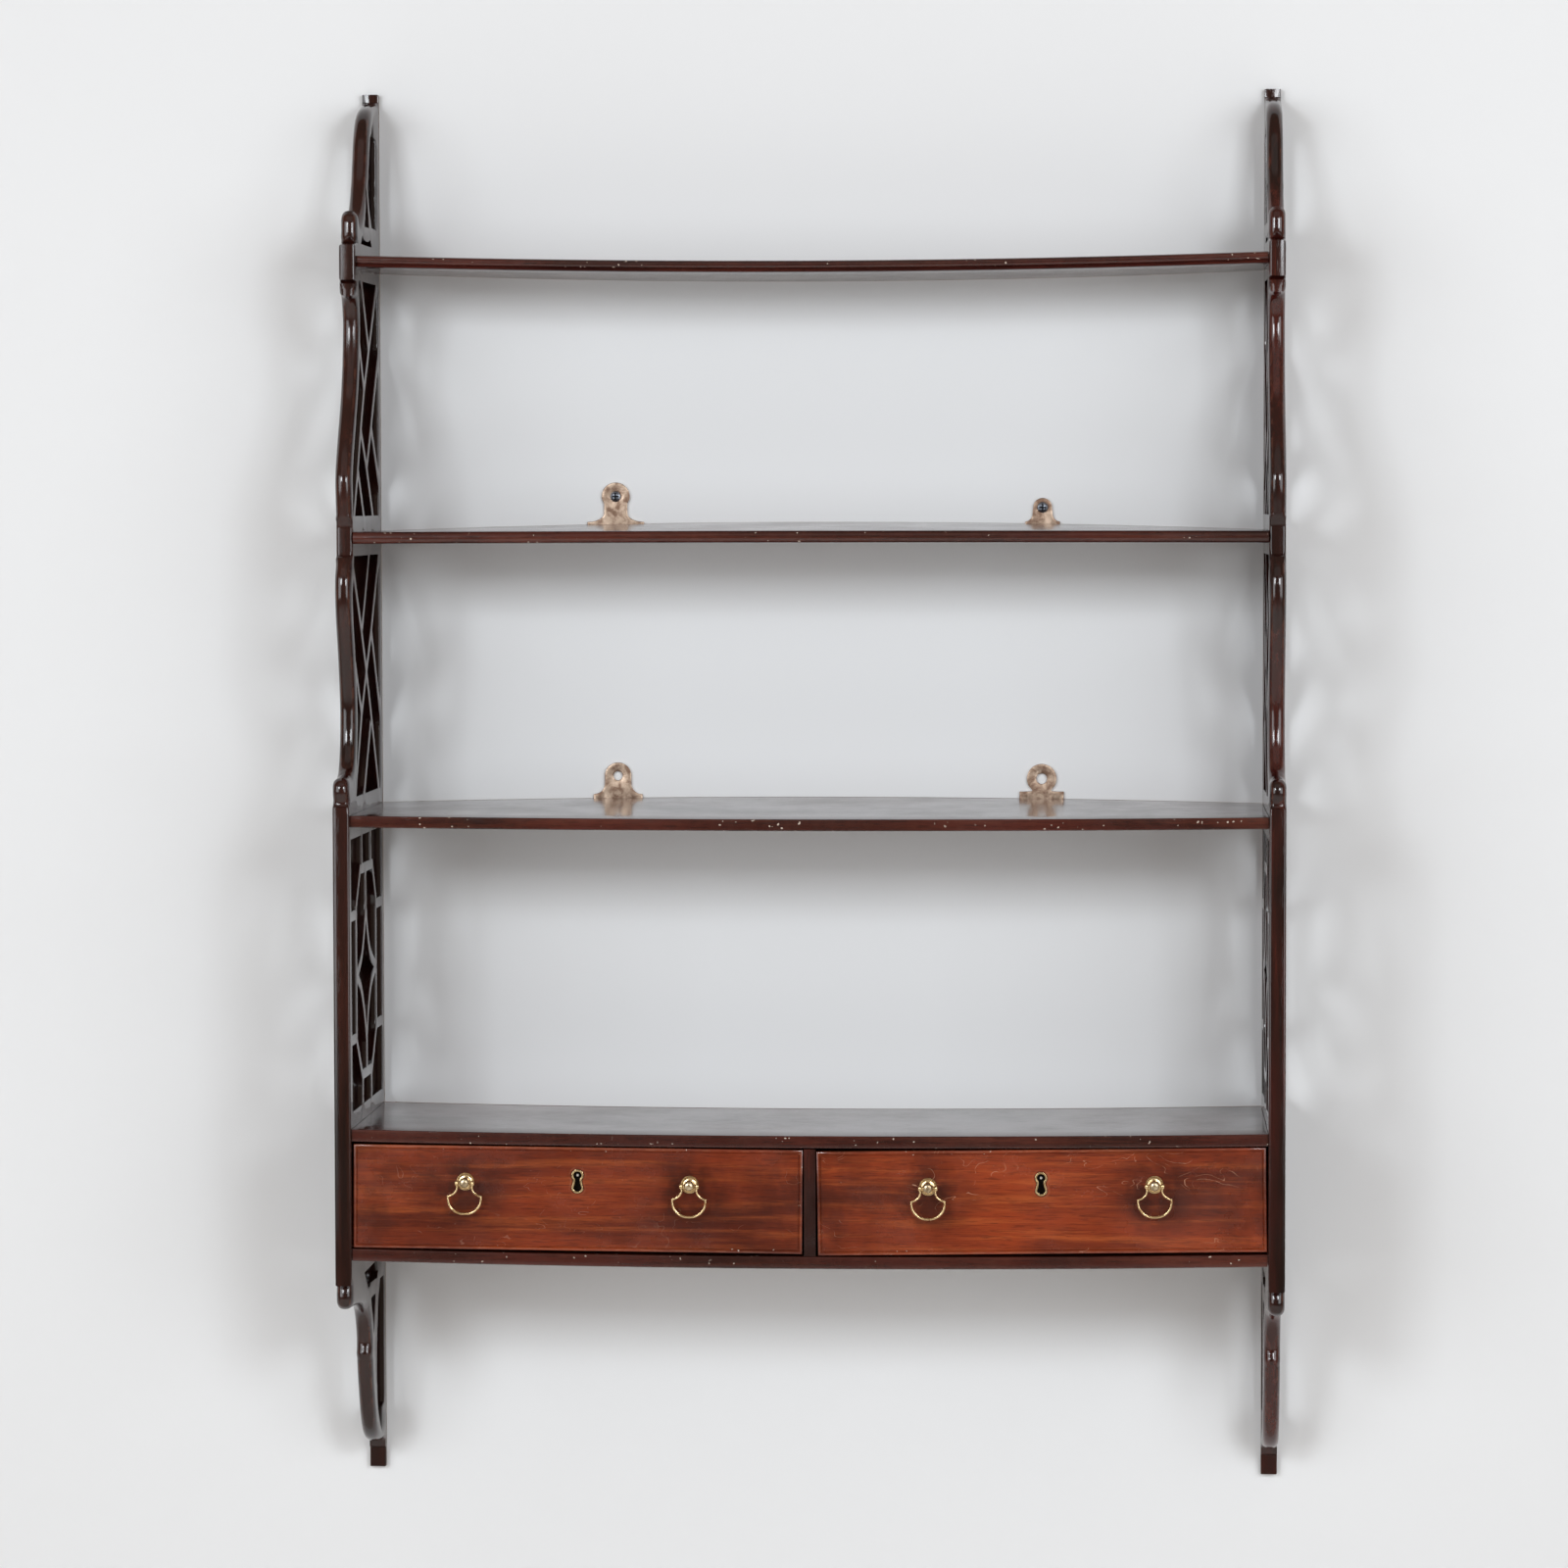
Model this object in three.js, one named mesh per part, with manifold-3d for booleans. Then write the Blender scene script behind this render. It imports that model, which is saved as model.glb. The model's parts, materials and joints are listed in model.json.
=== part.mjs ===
// Hanging wall shelf: two fretted sides, three open shelves and a low case with two drawers.
// Millimetres. +X is right, +Y goes into the wall, +Z is up. The back edges lie on the plane y = 0.
// Heights below are counted from the foot of the sides; DATUM moves the origin to the middle of the
// back edge of the lowest open shelf, where the shelf meets the wall.

import * as THREE from 'three';
import { mergeVertices } from 'three/addons/utils/BufferGeometryUtils.js';
import Module from 'manifold-3d';

const wasm = await Module();
wasm.setup();

// ---------------------------------------------------------------- driving dimensions

const WIDTH = 700;
const HEIGHT = 1057;
const SIDE_THICKNESS = 12.4;
const INNER = WIDTH / 2 - SIDE_THICKNESS;
const STILE_DEPTH = 187;
const POST_DEPTH = 16;
const GAP = 0.3;
const HOUSING = 4;
const HOUSING_STOP = 14;

// Every board names its top height at the ends, its depth, its thickness, and how far the middle of
// its front and back edges has moved up or down with age.
const BOARDS = {
  shelf_top: { top: 929.2, depth: 131, thickness: 8.6, front: -5.3, back: -7.0, nose: 4.3 },
  shelf_middle: { top: 724.2, depth: 160, thickness: 9.0, front: 0.4, back: 6.1, nose: 4.5 },
  shelf_low: { top: 515.3, depth: 182, thickness: 8.6, front: -2.1, back: 4.5, nose: 1.0 },
  case_top: { top: 283.3, depth: 184, thickness: 9.0, front: -3.2, back: -3.8, nose: 1.0 },
  case_bottom: { top: 194.6, depth: 184, thickness: 9.0, front: -3.8, back: -3.8, nose: 1.0 },
};
const DATUM = BOARDS.shelf_low.top + BOARDS.shelf_low.back - BOARDS.shelf_low.thickness / 2;

const DIVIDER_X = 1.5;
const DIVIDER_THICKNESS = 8.6;
const CASE_BACK_THICKNESS = 5;

const DRAWER_FACE_Y = -183.5;
const DRAWER_HEIGHT = 76.6;
const DRAWER_CLEARANCE = 1.3;
const DRAWER_MIDDLE_Z = 232.5;
const FRONT_THICKNESS = 10;
const DRAWER_WALL = 6;
const DRAWER_WALL_HEIGHT = 70;
const DRAWER_BACK_Y = -9;
const DRAWER_BOTTOM_THICKNESS = 4;
const DRAWERS = [
  { side: 'left', from: -INNER, to: DIVIDER_X - DIVIDER_THICKNESS / 2, tilt: 0.48 },
  { side: 'right', from: DIVIDER_X + DIVIDER_THICKNESS / 2, to: INNER, tilt: -0.85 },
];

const HANDLE_X = 83;
const HANDLE_Z = 12;
const PIVOT_OUT = 6.5;
const KEYHOLE_Z = 17.5;

const PLATE_THICKNESS = 1.6;
// Half widths of a plate: its round lug, its neck, and its foot on the shelf, with the foot's height and
// the height over which the neck spreads into it. An eye without a screw is empty.
const PLATES = [
  {
    name: 'upper_left', board: 'shelf_middle', x: -156.8, eyeZ: 750, screw: true,
    lug: 10.7, neck: 9, foot: 21.8, footHeight: 1.6, flare: 6.5,
  },
  {
    name: 'upper_right', board: 'shelf_middle', x: 170, eyeZ: 741.1, screw: true,
    lug: 7.2, neck: 7.6, foot: 13.2, footHeight: 1.6, flare: 6.5,
  },
  {
    name: 'lower_left', board: 'shelf_low', x: -155.7, eyeZ: 535.8, eyeRadius: 3.5,
    lug: 10.2, neck: 10.2, foot: 18.8, footHeight: 2.8, flare: 8,
  },
  {
    name: 'lower_right', board: 'shelf_low', x: 169.4, eyeZ: 533.9, eyeRadius: 4.1,
    lug: 11.3, neck: 7.2, foot: 16.9, footHeight: 5.4, flare: 0.6,
  },
];

// ---------------------------------------------------------------- materials

const WOOD = { dark: 0x4a2420, front: 0x7d3c24, inside: 0x8a6a45, back: 0x6b4a30 };

function wood(colour) {
  return new THREE.MeshStandardMaterial({ color: colour, roughness: 0.32, metalness: 0, flatShading: true });
}

function brass(colour = 0x8c7a4c) {
  return new THREE.MeshStandardMaterial({ color: colour, roughness: 0.42, metalness: 1, flatShading: true });
}

function steel() {
  return new THREE.MeshStandardMaterial({
    color: 0x55524e, roughness: 0.45, metalness: 1, flatShading: true,
  });
}

// ---------------------------------------------------------------- solids

function signedVolume(position, index) {
  const corner = [0, 1, 2].map(() => new THREE.Vector3());
  let volume = 0;
  for (let i = 0; i < index.length; i += 3) {
    corner.forEach((point, k) => point.fromBufferAttribute(position, index[i + k]));
    volume += corner[0].dot(corner[1].cross(corner[2])) / 6;
  }
  return volume;
}

// A closed geometry as a solid, with its faces turned outwards.
function solid(geometry) {
  geometry.deleteAttribute('normal');
  geometry.deleteAttribute('uv');
  const merged = mergeVertices(geometry, 1e-4);
  const index = new Uint32Array(merged.index.array);
  if (signedVolume(merged.attributes.position, index) < 0) {
    index.reverse();
  }
  return new wasm.Manifold(new wasm.Mesh({
    numProp: 3,
    vertProperties: new Float32Array(merged.attributes.position.array),
    triVerts: index,
  }));
}

function box(x0, x1, y0, y1, z0, z1) {
  const geometry = new THREE.BoxGeometry(x1 - x0, y1 - y0, z1 - z0);
  geometry.translate((x0 + x1) / 2, (y0 + y1) / 2, (z0 + z1) / 2);
  return solid(geometry);
}

function shapeOf(points) {
  return new THREE.Shape(points.map(([a, b]) => new THREE.Vector2(a, b)));
}

// A flat outline of [depth, height] points, sawn from a board that lies between two x planes.
function sideways(points, x0, x1) {
  const geometry = new THREE.ExtrudeGeometry(shapeOf(points), { depth: x1 - x0, bevelEnabled: false });
  const depthAxis = new THREE.Vector3(0, -1, 0);
  const heightAxis = new THREE.Vector3(0, 0, 1);
  const thicknessAxis = new THREE.Vector3(-1, 0, 0);
  geometry.applyMatrix4(new THREE.Matrix4().makeBasis(depthAxis, heightAxis, thicknessAxis));
  geometry.translate(x1, 0, 0);
  return solid(geometry);
}

// A flat outline of [x, z] points, between two y planes.
function upright(points, y0, y1) {
  const geometry = new THREE.ExtrudeGeometry(shapeOf(points), { depth: y1 - y0, bevelEnabled: false });
  geometry.rotateX(Math.PI / 2);
  geometry.translate(0, y1, 0);
  return solid(geometry);
}

// A turned piece: [radius, distance] points, with the distance measured outwards along -Y.
function turned(profile, segments) {
  const geometry = new THREE.LatheGeometry(profile.map(([r, h]) => new THREE.Vector2(r, h)), segments);
  return solid(geometry.rotateX(Math.PI));
}

function rodAlongX(radius, x0, x1, y, z, segments = 12) {
  const geometry = new THREE.CylinderGeometry(radius, radius, x1 - x0, segments);
  geometry.rotateZ(Math.PI / 2);
  geometry.translate((x0 + x1) / 2, y, z);
  return solid(geometry);
}

function rodAlongY(radius, y0, y1, x, z, segments = 16) {
  const geometry = new THREE.CylinderGeometry(radius, radius, y1 - y0, segments);
  return solid(geometry.translate(x, (y0 + y1) / 2, z));
}

function curve(points, steps) {
  const spline = new THREE.SplineCurve(points.map(([a, b]) => new THREE.Vector2(a, b)));
  return spline.getPoints(steps).map((p) => [p.x, p.y]);
}

function union(parts) {
  return parts.reduce((whole, part) => whole.add(part));
}

function meshOf(name, body, material) {
  const result = body.getMesh();
  const geometry = new THREE.BufferGeometry();
  geometry.setAttribute('position', new THREE.BufferAttribute(new Float32Array(result.vertProperties), 3));
  geometry.setIndex(new THREE.BufferAttribute(new Uint32Array(result.triVerts), 1));
  geometry.computeVertexNormals();
  const mesh = new THREE.Mesh(geometry, material);
  mesh.name = name;
  return mesh;
}

// ---------------------------------------------------------------- the fretted sides

const SCROLL_TOP = [[5, 1051], [26, 1047], [45, 1040], [58, 1025], [65, 1008], [70, 993], [77, 979],
  [86, 966], [95, 957], [105, 951.5], [112, 956]];
const UPPER_S = [[126, 896], [121.5, 884], [121, 872], [125.5, 848], [134, 825], [148, 801], [160.5, 778],
  [165.5, 761], [163, 742], [161, 733]];
const LOWER_S = [[162, 705], [169, 692], [170, 676], [166, 657], [157.5, 633], [151, 610], [147.5, 590],
  [149.5, 568], [157, 550], [168, 544]];
const BRACKET = [[172, 148.5], [150, 147], [120, 143], [97, 136], [86, 124], [80, 109]];
const BRACKET_FOOT = [[79, 94], [75.5, 80], [70, 66], [62, 48], [50, 33], [34, 25], [12, 22]];

function frontEdge() {
  const knobTop = [[115, 961], [122, 962.5], [126.5, 958], [127, 941], [124, 939]];
  const collarTop = [[136, 937], [136, 911], [132, 910], [136, 908], [136, 899]];
  const collarMiddle = [[158.5, 731], [158.5, 707]];
  const knobMiddle = [[184, 543], [188, 539], [188, 529], [185.5, 526], [185.5, 522.5], [STILE_DEPTH, 521.5]];
  const knobLow = [[STILE_DEPTH, 167], [182.5, 165.5], [184.5, 161], [184, 153], [180, 149]];
  const bead = [[80, 104.5], [82, 102], [82, 97], [79, 94.5]];
  return [
    ...curve(SCROLL_TOP, 18), ...knobTop, ...collarTop, ...curve(UPPER_S, 18), ...collarMiddle,
    ...curve(LOWER_S, 20), ...knobMiddle, ...knobLow, ...curve(BRACKET, 8), ...bead,
    ...curve(BRACKET_FOOT, 10),
  ];
}

function sideOutline() {
  const crown = [[0, HEIGHT], [5, HEIGHT], [5, 1053]];
  const foot = [[8, 21], [8, 16], [5, 15], [5, 0], [0, 0]];
  return [...crown, ...frontEdge(), ...foot].reverse();
}

// Windows are the areas that the fret saw opened; bars are what it left standing inside them.
const WINDOWS = {
  scroll: [[20, 953], [45, 954], [53, 962], [60, 971], [66, 982], [61, 995], [56, 1009], [51, 1021],
    [43, 1025], [37, 1033], [33, 1023], [20, 1021]],
  leaf: [[60, 953], [83, 953], [77, 967], [72, 982], [66, 967]],
  crescent: [[46, 939], [104, 939], [95, 945.5], [88, 942.5], [62, 942], [52, 944]],
  upperLattice: [[POST_DEPTH, 736], [154, 736], [156, 760], [151, 777], [139, 800], [124.5, 826], [116, 848],
    [111.5, 872], [112.5, 890], [117, 911], [POST_DEPTH, 911]],
  lowerLattice: [[POST_DEPTH, 527.5], [152, 527.5], [143, 548], [139.5, 568], [137.5, 590], [141.5, 612],
    [148, 634], [157, 660], [160, 678], [153, 693], [151, 706], [POST_DEPTH, 706]],
  caseBay: [[13, 295], [175, 295], [178, 497], [13, 497]],
  bracketHead: [[47, 167], [118, 167], [104, 158], [96, 151.5], [84, 154.5], [50, 153.5], [44, 158]],
  bracketEye: [[58, 142.5], [83, 142.5], [74, 128], [70, 112], [66, 126]],
  bracketLong: [[14, 52], [26, 49], [28, 32], [41, 44], [49, 56], [53.5, 78], [52.5, 100], [47, 121],
    [42, 138], [33, 150], [14, 150]],
};

const BAR = 8;
const LATTICE_UPPER = [
  [[108, 918], [64, 858]],
  [[14, 918], [60, 866], [92, 830], [111, 801], [128, 770], [150, 734]],
  [[122, 872], [92, 830]],
  [[10, 861], [55, 803], [78, 774]],
  [[111, 800], [82, 773], [46, 734]],
  [[55, 803], [10, 757]],
  [[128, 770], [94, 732]],
];
const LATTICE_LOWER = [
  [[160, 702], [116, 653], [88, 619], [62, 583], [20, 522]],
  [[66, 712], [110, 652]],
  [[16, 706], [60, 650], [88, 619], [115, 588], [154, 522]],
  [[61, 650], [8, 577]],
  [[148, 626], [115, 588]],
  [[66, 580], [108, 522]],
];
const OCTAGON = [
  [[119, 502], [119, 472]],
  [[72, 502], [72, 472]],
  [[129, 472], [62, 472]],
  [[127, 474], [151, 446], [151, 346], [121, 316]],
  [[64, 474], [44.5, 446], [44.5, 346], [71, 316]],
  [[121, 317], [70, 317]],
  [[120, 318], [120, 290]],
  [[73, 318], [73, 290]],
  [[182, 440], [150, 440]],
  [[45, 440], [8, 440]],
  [[182, 348], [150, 348]],
  [[45, 348], [8, 348]],
  [[100, 470], [100, 434]],
  [[97, 346], [97, 318]],
];
const STAR_ARMS = [
  [[100, 440], [113, 417], [128, 403], [151, 394]],
  [[99, 440], [89, 420], [73, 404], [45, 393]],
  [[98, 342], [110, 364], [128, 384], [151, 394]],
  [[97, 342], [88, 364], [72, 382], [45, 393]],
];

// One bar of the fret: a strip of even width along a path, mitred where the path bends.
function strip(path, width) {
  const left = [];
  const right = [];
  path.forEach(([a, b], i) => {
    const [pa, pb] = path[Math.max(i - 1, 0)];
    const [na, nb] = path[Math.min(i + 1, path.length - 1)];
    const length = Math.hypot(na - pa, nb - pb);
    const across = [(-(nb - pb) / length) * width / 2, ((na - pa) / length) * width / 2];
    left.push([a + across[0], b + across[1]]);
    right.unshift([a - across[0], b - across[1]]);
  });
  return [...left, ...right];
}

function counterClockwise(points) {
  const clockwise = THREE.ShapeUtils.isClockWise(points.map(([a, b]) => new THREE.Vector2(a, b)));
  return clockwise ? [...points].reverse() : points;
}

function fretted(x0, x1) {
  const margin = 1;
  const straightBars = [...LATTICE_UPPER, ...LATTICE_LOWER, ...OCTAGON];
  const paths = [...straightBars, ...STAR_ARMS.map((arm) => curve(arm, 8))];
  const bars = paths.map((path) => sideways(counterClockwise(strip(path, BAR)), x0 - margin, x1 + margin));
  const windows = Object.values(WINDOWS).map((outline) => (
    sideways(counterClockwise(outline), x0 - margin, x1 + margin)));
  const board = sideways(counterClockwise(sideOutline()), x0, x1);
  return board.subtract(union(windows).subtract(union(bars)));
}

// The stopped housing that a board's end slides into from behind.
function housing(board, inwards) {
  const { top, depth, thickness } = board;
  const inner = INNER - 1;
  const outer = INNER + HOUSING + GAP;
  const [x0, x1] = inwards < 0 ? [-outer, -inner] : [inner, outer];
  return box(x0, x1, -(depth - HOUSING_STOP) - GAP, 1, top - thickness - GAP, top + GAP);
}

function sidePiece(name, direction) {
  const [x0, x1] = direction < 0 ? [-WIDTH / 2, -INNER] : [INNER, WIDTH / 2];
  const housings = Object.values(BOARDS).map((board) => housing(board, direction));
  return meshOf(name, fretted(x0, x1).subtract(union(housings)), wood(WOOD.dark));
}

// ---------------------------------------------------------------- shelves and case boards

function sagAt(board, x, across) {
  const movement = THREE.MathUtils.lerp(board.back, board.front, across);
  return movement * (1 - (x / INNER) ** 2);
}

// Section of a board as [depth, height below the top] points, with a rounded or eased front edge.
function boardSection({ depth, thickness, nose }) {
  const arc = 3;
  const points = [[0, -thickness], [0, 0]];
  for (let i = 0; i <= arc; i += 1) {
    const angle = (Math.PI / 2) * (1 - i / arc);
    points.push([depth - nose + nose * Math.cos(angle), -nose + nose * Math.sin(angle)]);
  }
  for (let i = 0; i <= arc; i += 1) {
    const angle = (-Math.PI / 2) * (i / arc);
    points.push([depth - nose + nose * Math.cos(angle), -thickness + nose + nose * Math.sin(angle)]);
  }
  const shortest = 0.01;
  return points.filter(([d, h], i) => {
    const [previousD, previousH] = points[Math.max(i - 1, 0)];
    return i === 0 || Math.hypot(d - previousD, h - previousH) > shortest;
  });
}

function boardBody(board) {
  const section = boardSection(board);
  const stations = 10;
  const reach = INNER - GAP;
  const positions = [];
  const indices = [];
  for (let s = 0; s <= stations; s += 1) {
    const x = -reach + (2 * reach * s) / stations;
    for (const [depth, height] of section) {
      positions.push(x, -depth, board.top + height + sagAt(board, x, depth / board.depth));
    }
  }
  const n = section.length;
  for (let s = 0; s < stations; s += 1) {
    for (let i = 0; i < n; i += 1) {
      const a = s * n + i;
      const b = s * n + ((i + 1) % n);
      indices.push(a, b, a + n, b, b + n, a + n);
    }
  }
  const caps = THREE.ShapeUtils.triangulateShape(section.map(([d, h]) => new THREE.Vector2(d, h)), []);
  const last = stations * n;
  for (const [a, b, c] of caps) {
    indices.push(a, b, c, last + a, last + c, last + b);
  }
  const geometry = new THREE.BufferGeometry();
  geometry.setAttribute('position', new THREE.BufferAttribute(new Float32Array(positions), 3));
  geometry.setIndex(indices);
  return solid(geometry);
}

function tongues({ top, depth, thickness }) {
  const start = INNER - 2;
  const end = INNER + HOUSING;
  const front = -(depth - HOUSING_STOP);
  const bottom = top - thickness;
  return union([
    box(start, end, front, -GAP, bottom, top),
    box(-end, -start, front, -GAP, bottom, top),
  ]);
}

function boardPiece(name, cuts = []) {
  const board = BOARDS[name];
  const body = boardBody(board).add(tongues(board));
  return meshOf(name, cuts.length ? body.subtract(union(cuts)) : body, wood(WOOD.dark));
}

function divider() {
  const half = DIVIDER_THICKNESS / 2;
  const lower = BOARDS.case_bottom;
  const upper = BOARDS.case_top;
  const bottom = lower.top + Math.max(lower.front, lower.back) + GAP;
  const top = upper.top - upper.thickness + Math.min(upper.front, upper.back) - GAP;
  const back = -CASE_BACK_THICKNESS - 2 * GAP;
  const body = box(DIVIDER_X - half, DIVIDER_X + half, -upper.depth + 1, back, bottom, top);
  return meshOf('case_divider', body, wood(WOOD.dark));
}

function caseBack() {
  const lower = BOARDS.case_bottom.top + GAP;
  const upper = BOARDS.case_top.top - BOARDS.case_top.thickness + BOARDS.case_top.back - GAP;
  const reach = INNER - GAP;
  const body = box(-reach, reach, -CASE_BACK_THICKNESS - GAP, -GAP, lower, upper);
  return meshOf('case_back', body, wood(WOOD.back));
}

// ---------------------------------------------------------------- wall plates

function arc(cx, cz, radius, from, to, steps) {
  return Array.from({ length: steps + 1 }, (_, i) => {
    const angle = THREE.MathUtils.degToRad(from + ((to - from) * i) / steps);
    return [cx + radius * Math.cos(angle), cz + radius * Math.sin(angle)];
  });
}

function plateBottom(plate) {
  const board = BOARDS[plate.board];
  return board.top - board.thickness + sagAt(board, plate.x, 0) + 0.9;
}

// Right half of a plate, from its bottom corner up to where the lug begins.
function plateHalf(plate, grow) {
  const { x, neck, foot, footHeight, flare } = plate;
  const board = BOARDS[plate.board];
  const footTop = board.top + sagAt(board, x, 0) + footHeight + grow;
  const steps = 5;
  const half = [[foot + grow, plateBottom(plate) - grow]];
  for (let i = 0; i <= steps; i += 1) {
    const angle = (Math.PI / 2) * (i / steps);
    half.push([
      neck + grow + (foot - neck) * (1 - Math.sin(angle)),
      footTop + flare * (1 - Math.cos(angle)),
    ]);
  }
  return half;
}

function plateOutline(plate, grow = 0) {
  const { x, eyeZ, lug, neck } = plate;
  const half = plateHalf(plate, grow);
  const open = -THREE.MathUtils.radToDeg(Math.acos(Math.min(neck / lug, 1)));
  return [
    ...half.map(([reach, z]) => [x + reach, z]),
    ...arc(x, eyeZ, lug + grow, open, 180 - open, 14),
    ...half.reverse().map(([reach, z]) => [x - reach, z]),
  ];
}

function plateScrewSpots(plate) {
  const height = plateBottom(plate) + 4;
  return [-1, 1].map((direction) => [plate.x + direction * (plate.foot - 6), height]);
}

function plateRecess(plate) {
  return upright(plateOutline(plate, GAP), -PLATE_THICKNESS - GAP, 1);
}

const PLATE_SCREW = { head: 2.6, shank: 1.1, length: 12 };
const WALL_SCREW = { head: 4.3, shank: 2.2, length: 30 };

function screwHole(spot, radius, length) {
  return rodAlongY(radius + GAP, -length - GAP, 1, spot[0], spot[1], 10);
}

function wallPlate(plate) {
  const eyeRadius = plate.screw ? WALL_SCREW.shank + GAP : plate.eyeRadius;
  const holes = plateScrewSpots(plate).map((spot) => screwHole(spot, PLATE_SCREW.head, PLATE_THICKNESS + 1));
  const eye = rodAlongY(eyeRadius, -PLATE_THICKNESS - 1, 1, plate.x, plate.eyeZ);
  const body = upright(plateOutline(plate), -PLATE_THICKNESS, 0);
  return meshOf(`wall_plate_${plate.name}`, body.subtract(union([...holes, eye])), brass());
}

// A plate screw goes in from behind, its flat head level with the plate's back face.
function plateScrew(name, [x, z]) {
  const { head, shank, length } = PLATE_SCREW;
  const profile = [[0, 0.1], [head, 0.1], [head, 1.2], [shank, 1.9], [shank, length - 2], [0, length]];
  const mesh = meshOf(name, turned(profile, 10), steel());
  mesh.position.set(x, 0, z);
  return mesh;
}

// A wall screw passes through the lug; its domed head bears on the front of the plate.
function wallScrew(plate) {
  const { head, shank, length } = WALL_SCREW;
  const face = PLATE_THICKNESS + GAP;
  const slot = 0.8;
  const profile = [[0, -length], [shank, -length + 4], [shank, face], [head, face], [head * 0.86, face + 1.4],
    [head * 0.5, face + 2.2], [0, face + 2.4]];
  const cuts = union([
    box(-slot / 2, slot / 2, -face - 3, -face - 1.2, -head * 0.6, head * 0.6),
    box(-head * 0.6, head * 0.6, -face - 3, -face - 1.2, -slot / 2, slot / 2),
  ]);
  const mesh = meshOf(`wall_screw_${plate.name}`, turned(profile, 12).subtract(cuts), steel());
  mesh.position.set(plate.x, 0, plate.eyeZ);
  return mesh;
}

// ---------------------------------------------------------------- drawers
// A drawer is built around its own middle: x across, z up, and y as in the case. The group that
// holds it leans it with the board under it.

const FRONT_BACK_Y = DRAWER_FACE_Y + FRONT_THICKNESS;
const HALF_HEIGHT = DRAWER_HEIGHT / 2;
const WALL_TOP = -HALF_HEIGHT + DRAWER_WALL_HEIGHT;
const BOTTOM_Z = -HALF_HEIGHT + 4;
const TAIL_LENGTH = 6;
const TAILS = 3;
const GROOVE = 3;
const BACK_INSET = 2;
const RIM_PROUD = 0.3;
const RIM_DEPTH = 2.7;
const LOCK = { width: 34, height: 35, depth: 8, recess: 5 };
const BOLT = { width: 12, thickness: 3, height: 18, travel: 6 };
const BOLT_Y = FRONT_BACK_Y - 0.6;

// Tails widen towards their ends; grow opens the matching sockets.
function tails(x0, x1, grow) {
  const pitch = DRAWER_WALL_HEIGHT / TAILS;
  const root = pitch * 0.28;
  const tip = pitch * 0.38;
  return union(Array.from({ length: TAILS }, (_, i) => {
    const z = -HALF_HEIGHT + pitch * (i + 0.5);
    const y0 = FRONT_BACK_Y - TAIL_LENGTH - grow;
    const y1 = FRONT_BACK_Y + 1;
    return sideways(counterClockwise([
      [-y0, z - tip - grow], [-y0, z + tip + grow], [-y1, z + root + grow], [-y1, z - root - grow],
    ]), x0, x1);
  }));
}

// Round at the top, pinched below it, and spreading again to a rounded end.
const KEYHOLE_OUTER = { radius: 4.5, waist: 3.3, endRadius: 4.6, endZ: -8.6 };
const KEYHOLE_INNER = { radius: 3.1, waist: 1.9, endRadius: 3.2, endZ: -8.7 };
const KEYHOLE_WAIST_Z = -5.2;

function keyholeOutline({ radius, waist, endRadius, endZ }, grow) {
  const open = -THREE.MathUtils.radToDeg(Math.acos(waist / radius));
  return [
    ...arc(0, endZ, endRadius + grow, -165, -15, 7),
    [waist + grow, KEYHOLE_WAIST_Z],
    ...arc(0, 0, radius + grow, open, 180 - open, 11),
    [-waist - grow, KEYHOLE_WAIST_Z],
  ];
}

function keyhole(shape, grow, y0, y1) {
  return upright(keyholeOutline(shape, grow).map(([x, z]) => [x, z + KEYHOLE_Z]), y0, y1);
}

function drawerFront(half) {
  const board = box(-half, half, DRAWER_FACE_Y, FRONT_BACK_Y, -HALF_HEIGHT, HALF_HEIGHT);
  const wall = DRAWER_WALL + GAP;
  const grooveReach = half - DRAWER_WALL + GROOVE;
  const grooveTop = BOTTOM_Z + DRAWER_BOTTOM_THICKNESS + GAP;
  const lockReach = LOCK.width / 2 + GAP;
  const lockFloor = HALF_HEIGHT - LOCK.height - GAP;
  const postHole = POST.shank + GAP;
  const lockBack = FRONT_BACK_Y - LOCK.recess - GAP;
  const cuts = [
    tails(-half - 1, -half + wall, GAP),
    tails(half - wall, half + 1, GAP),
    box(-grooveReach, grooveReach, FRONT_BACK_Y - GROOVE, FRONT_BACK_Y + 1, BOTTOM_Z - GAP, grooveTop),
    box(-lockReach, lockReach, lockBack, FRONT_BACK_Y + 1, lockFloor, HALF_HEIGHT + 1),
    keyhole(KEYHOLE_OUTER, GAP, DRAWER_FACE_Y - 1, DRAWER_FACE_Y + RIM_DEPTH + GAP),
    keyhole(KEYHOLE_INNER, 0, DRAWER_FACE_Y - 1, FRONT_BACK_Y + 1),
    rodAlongY(postHole, DRAWER_FACE_Y - 1, FRONT_BACK_Y + 1, -HANDLE_X, HANDLE_Z, 12),
    rodAlongY(postHole, DRAWER_FACE_Y - 1, FRONT_BACK_Y + 1, HANDLE_X, HANDLE_Z, 12),
  ];
  return board.subtract(union(cuts));
}

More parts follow.
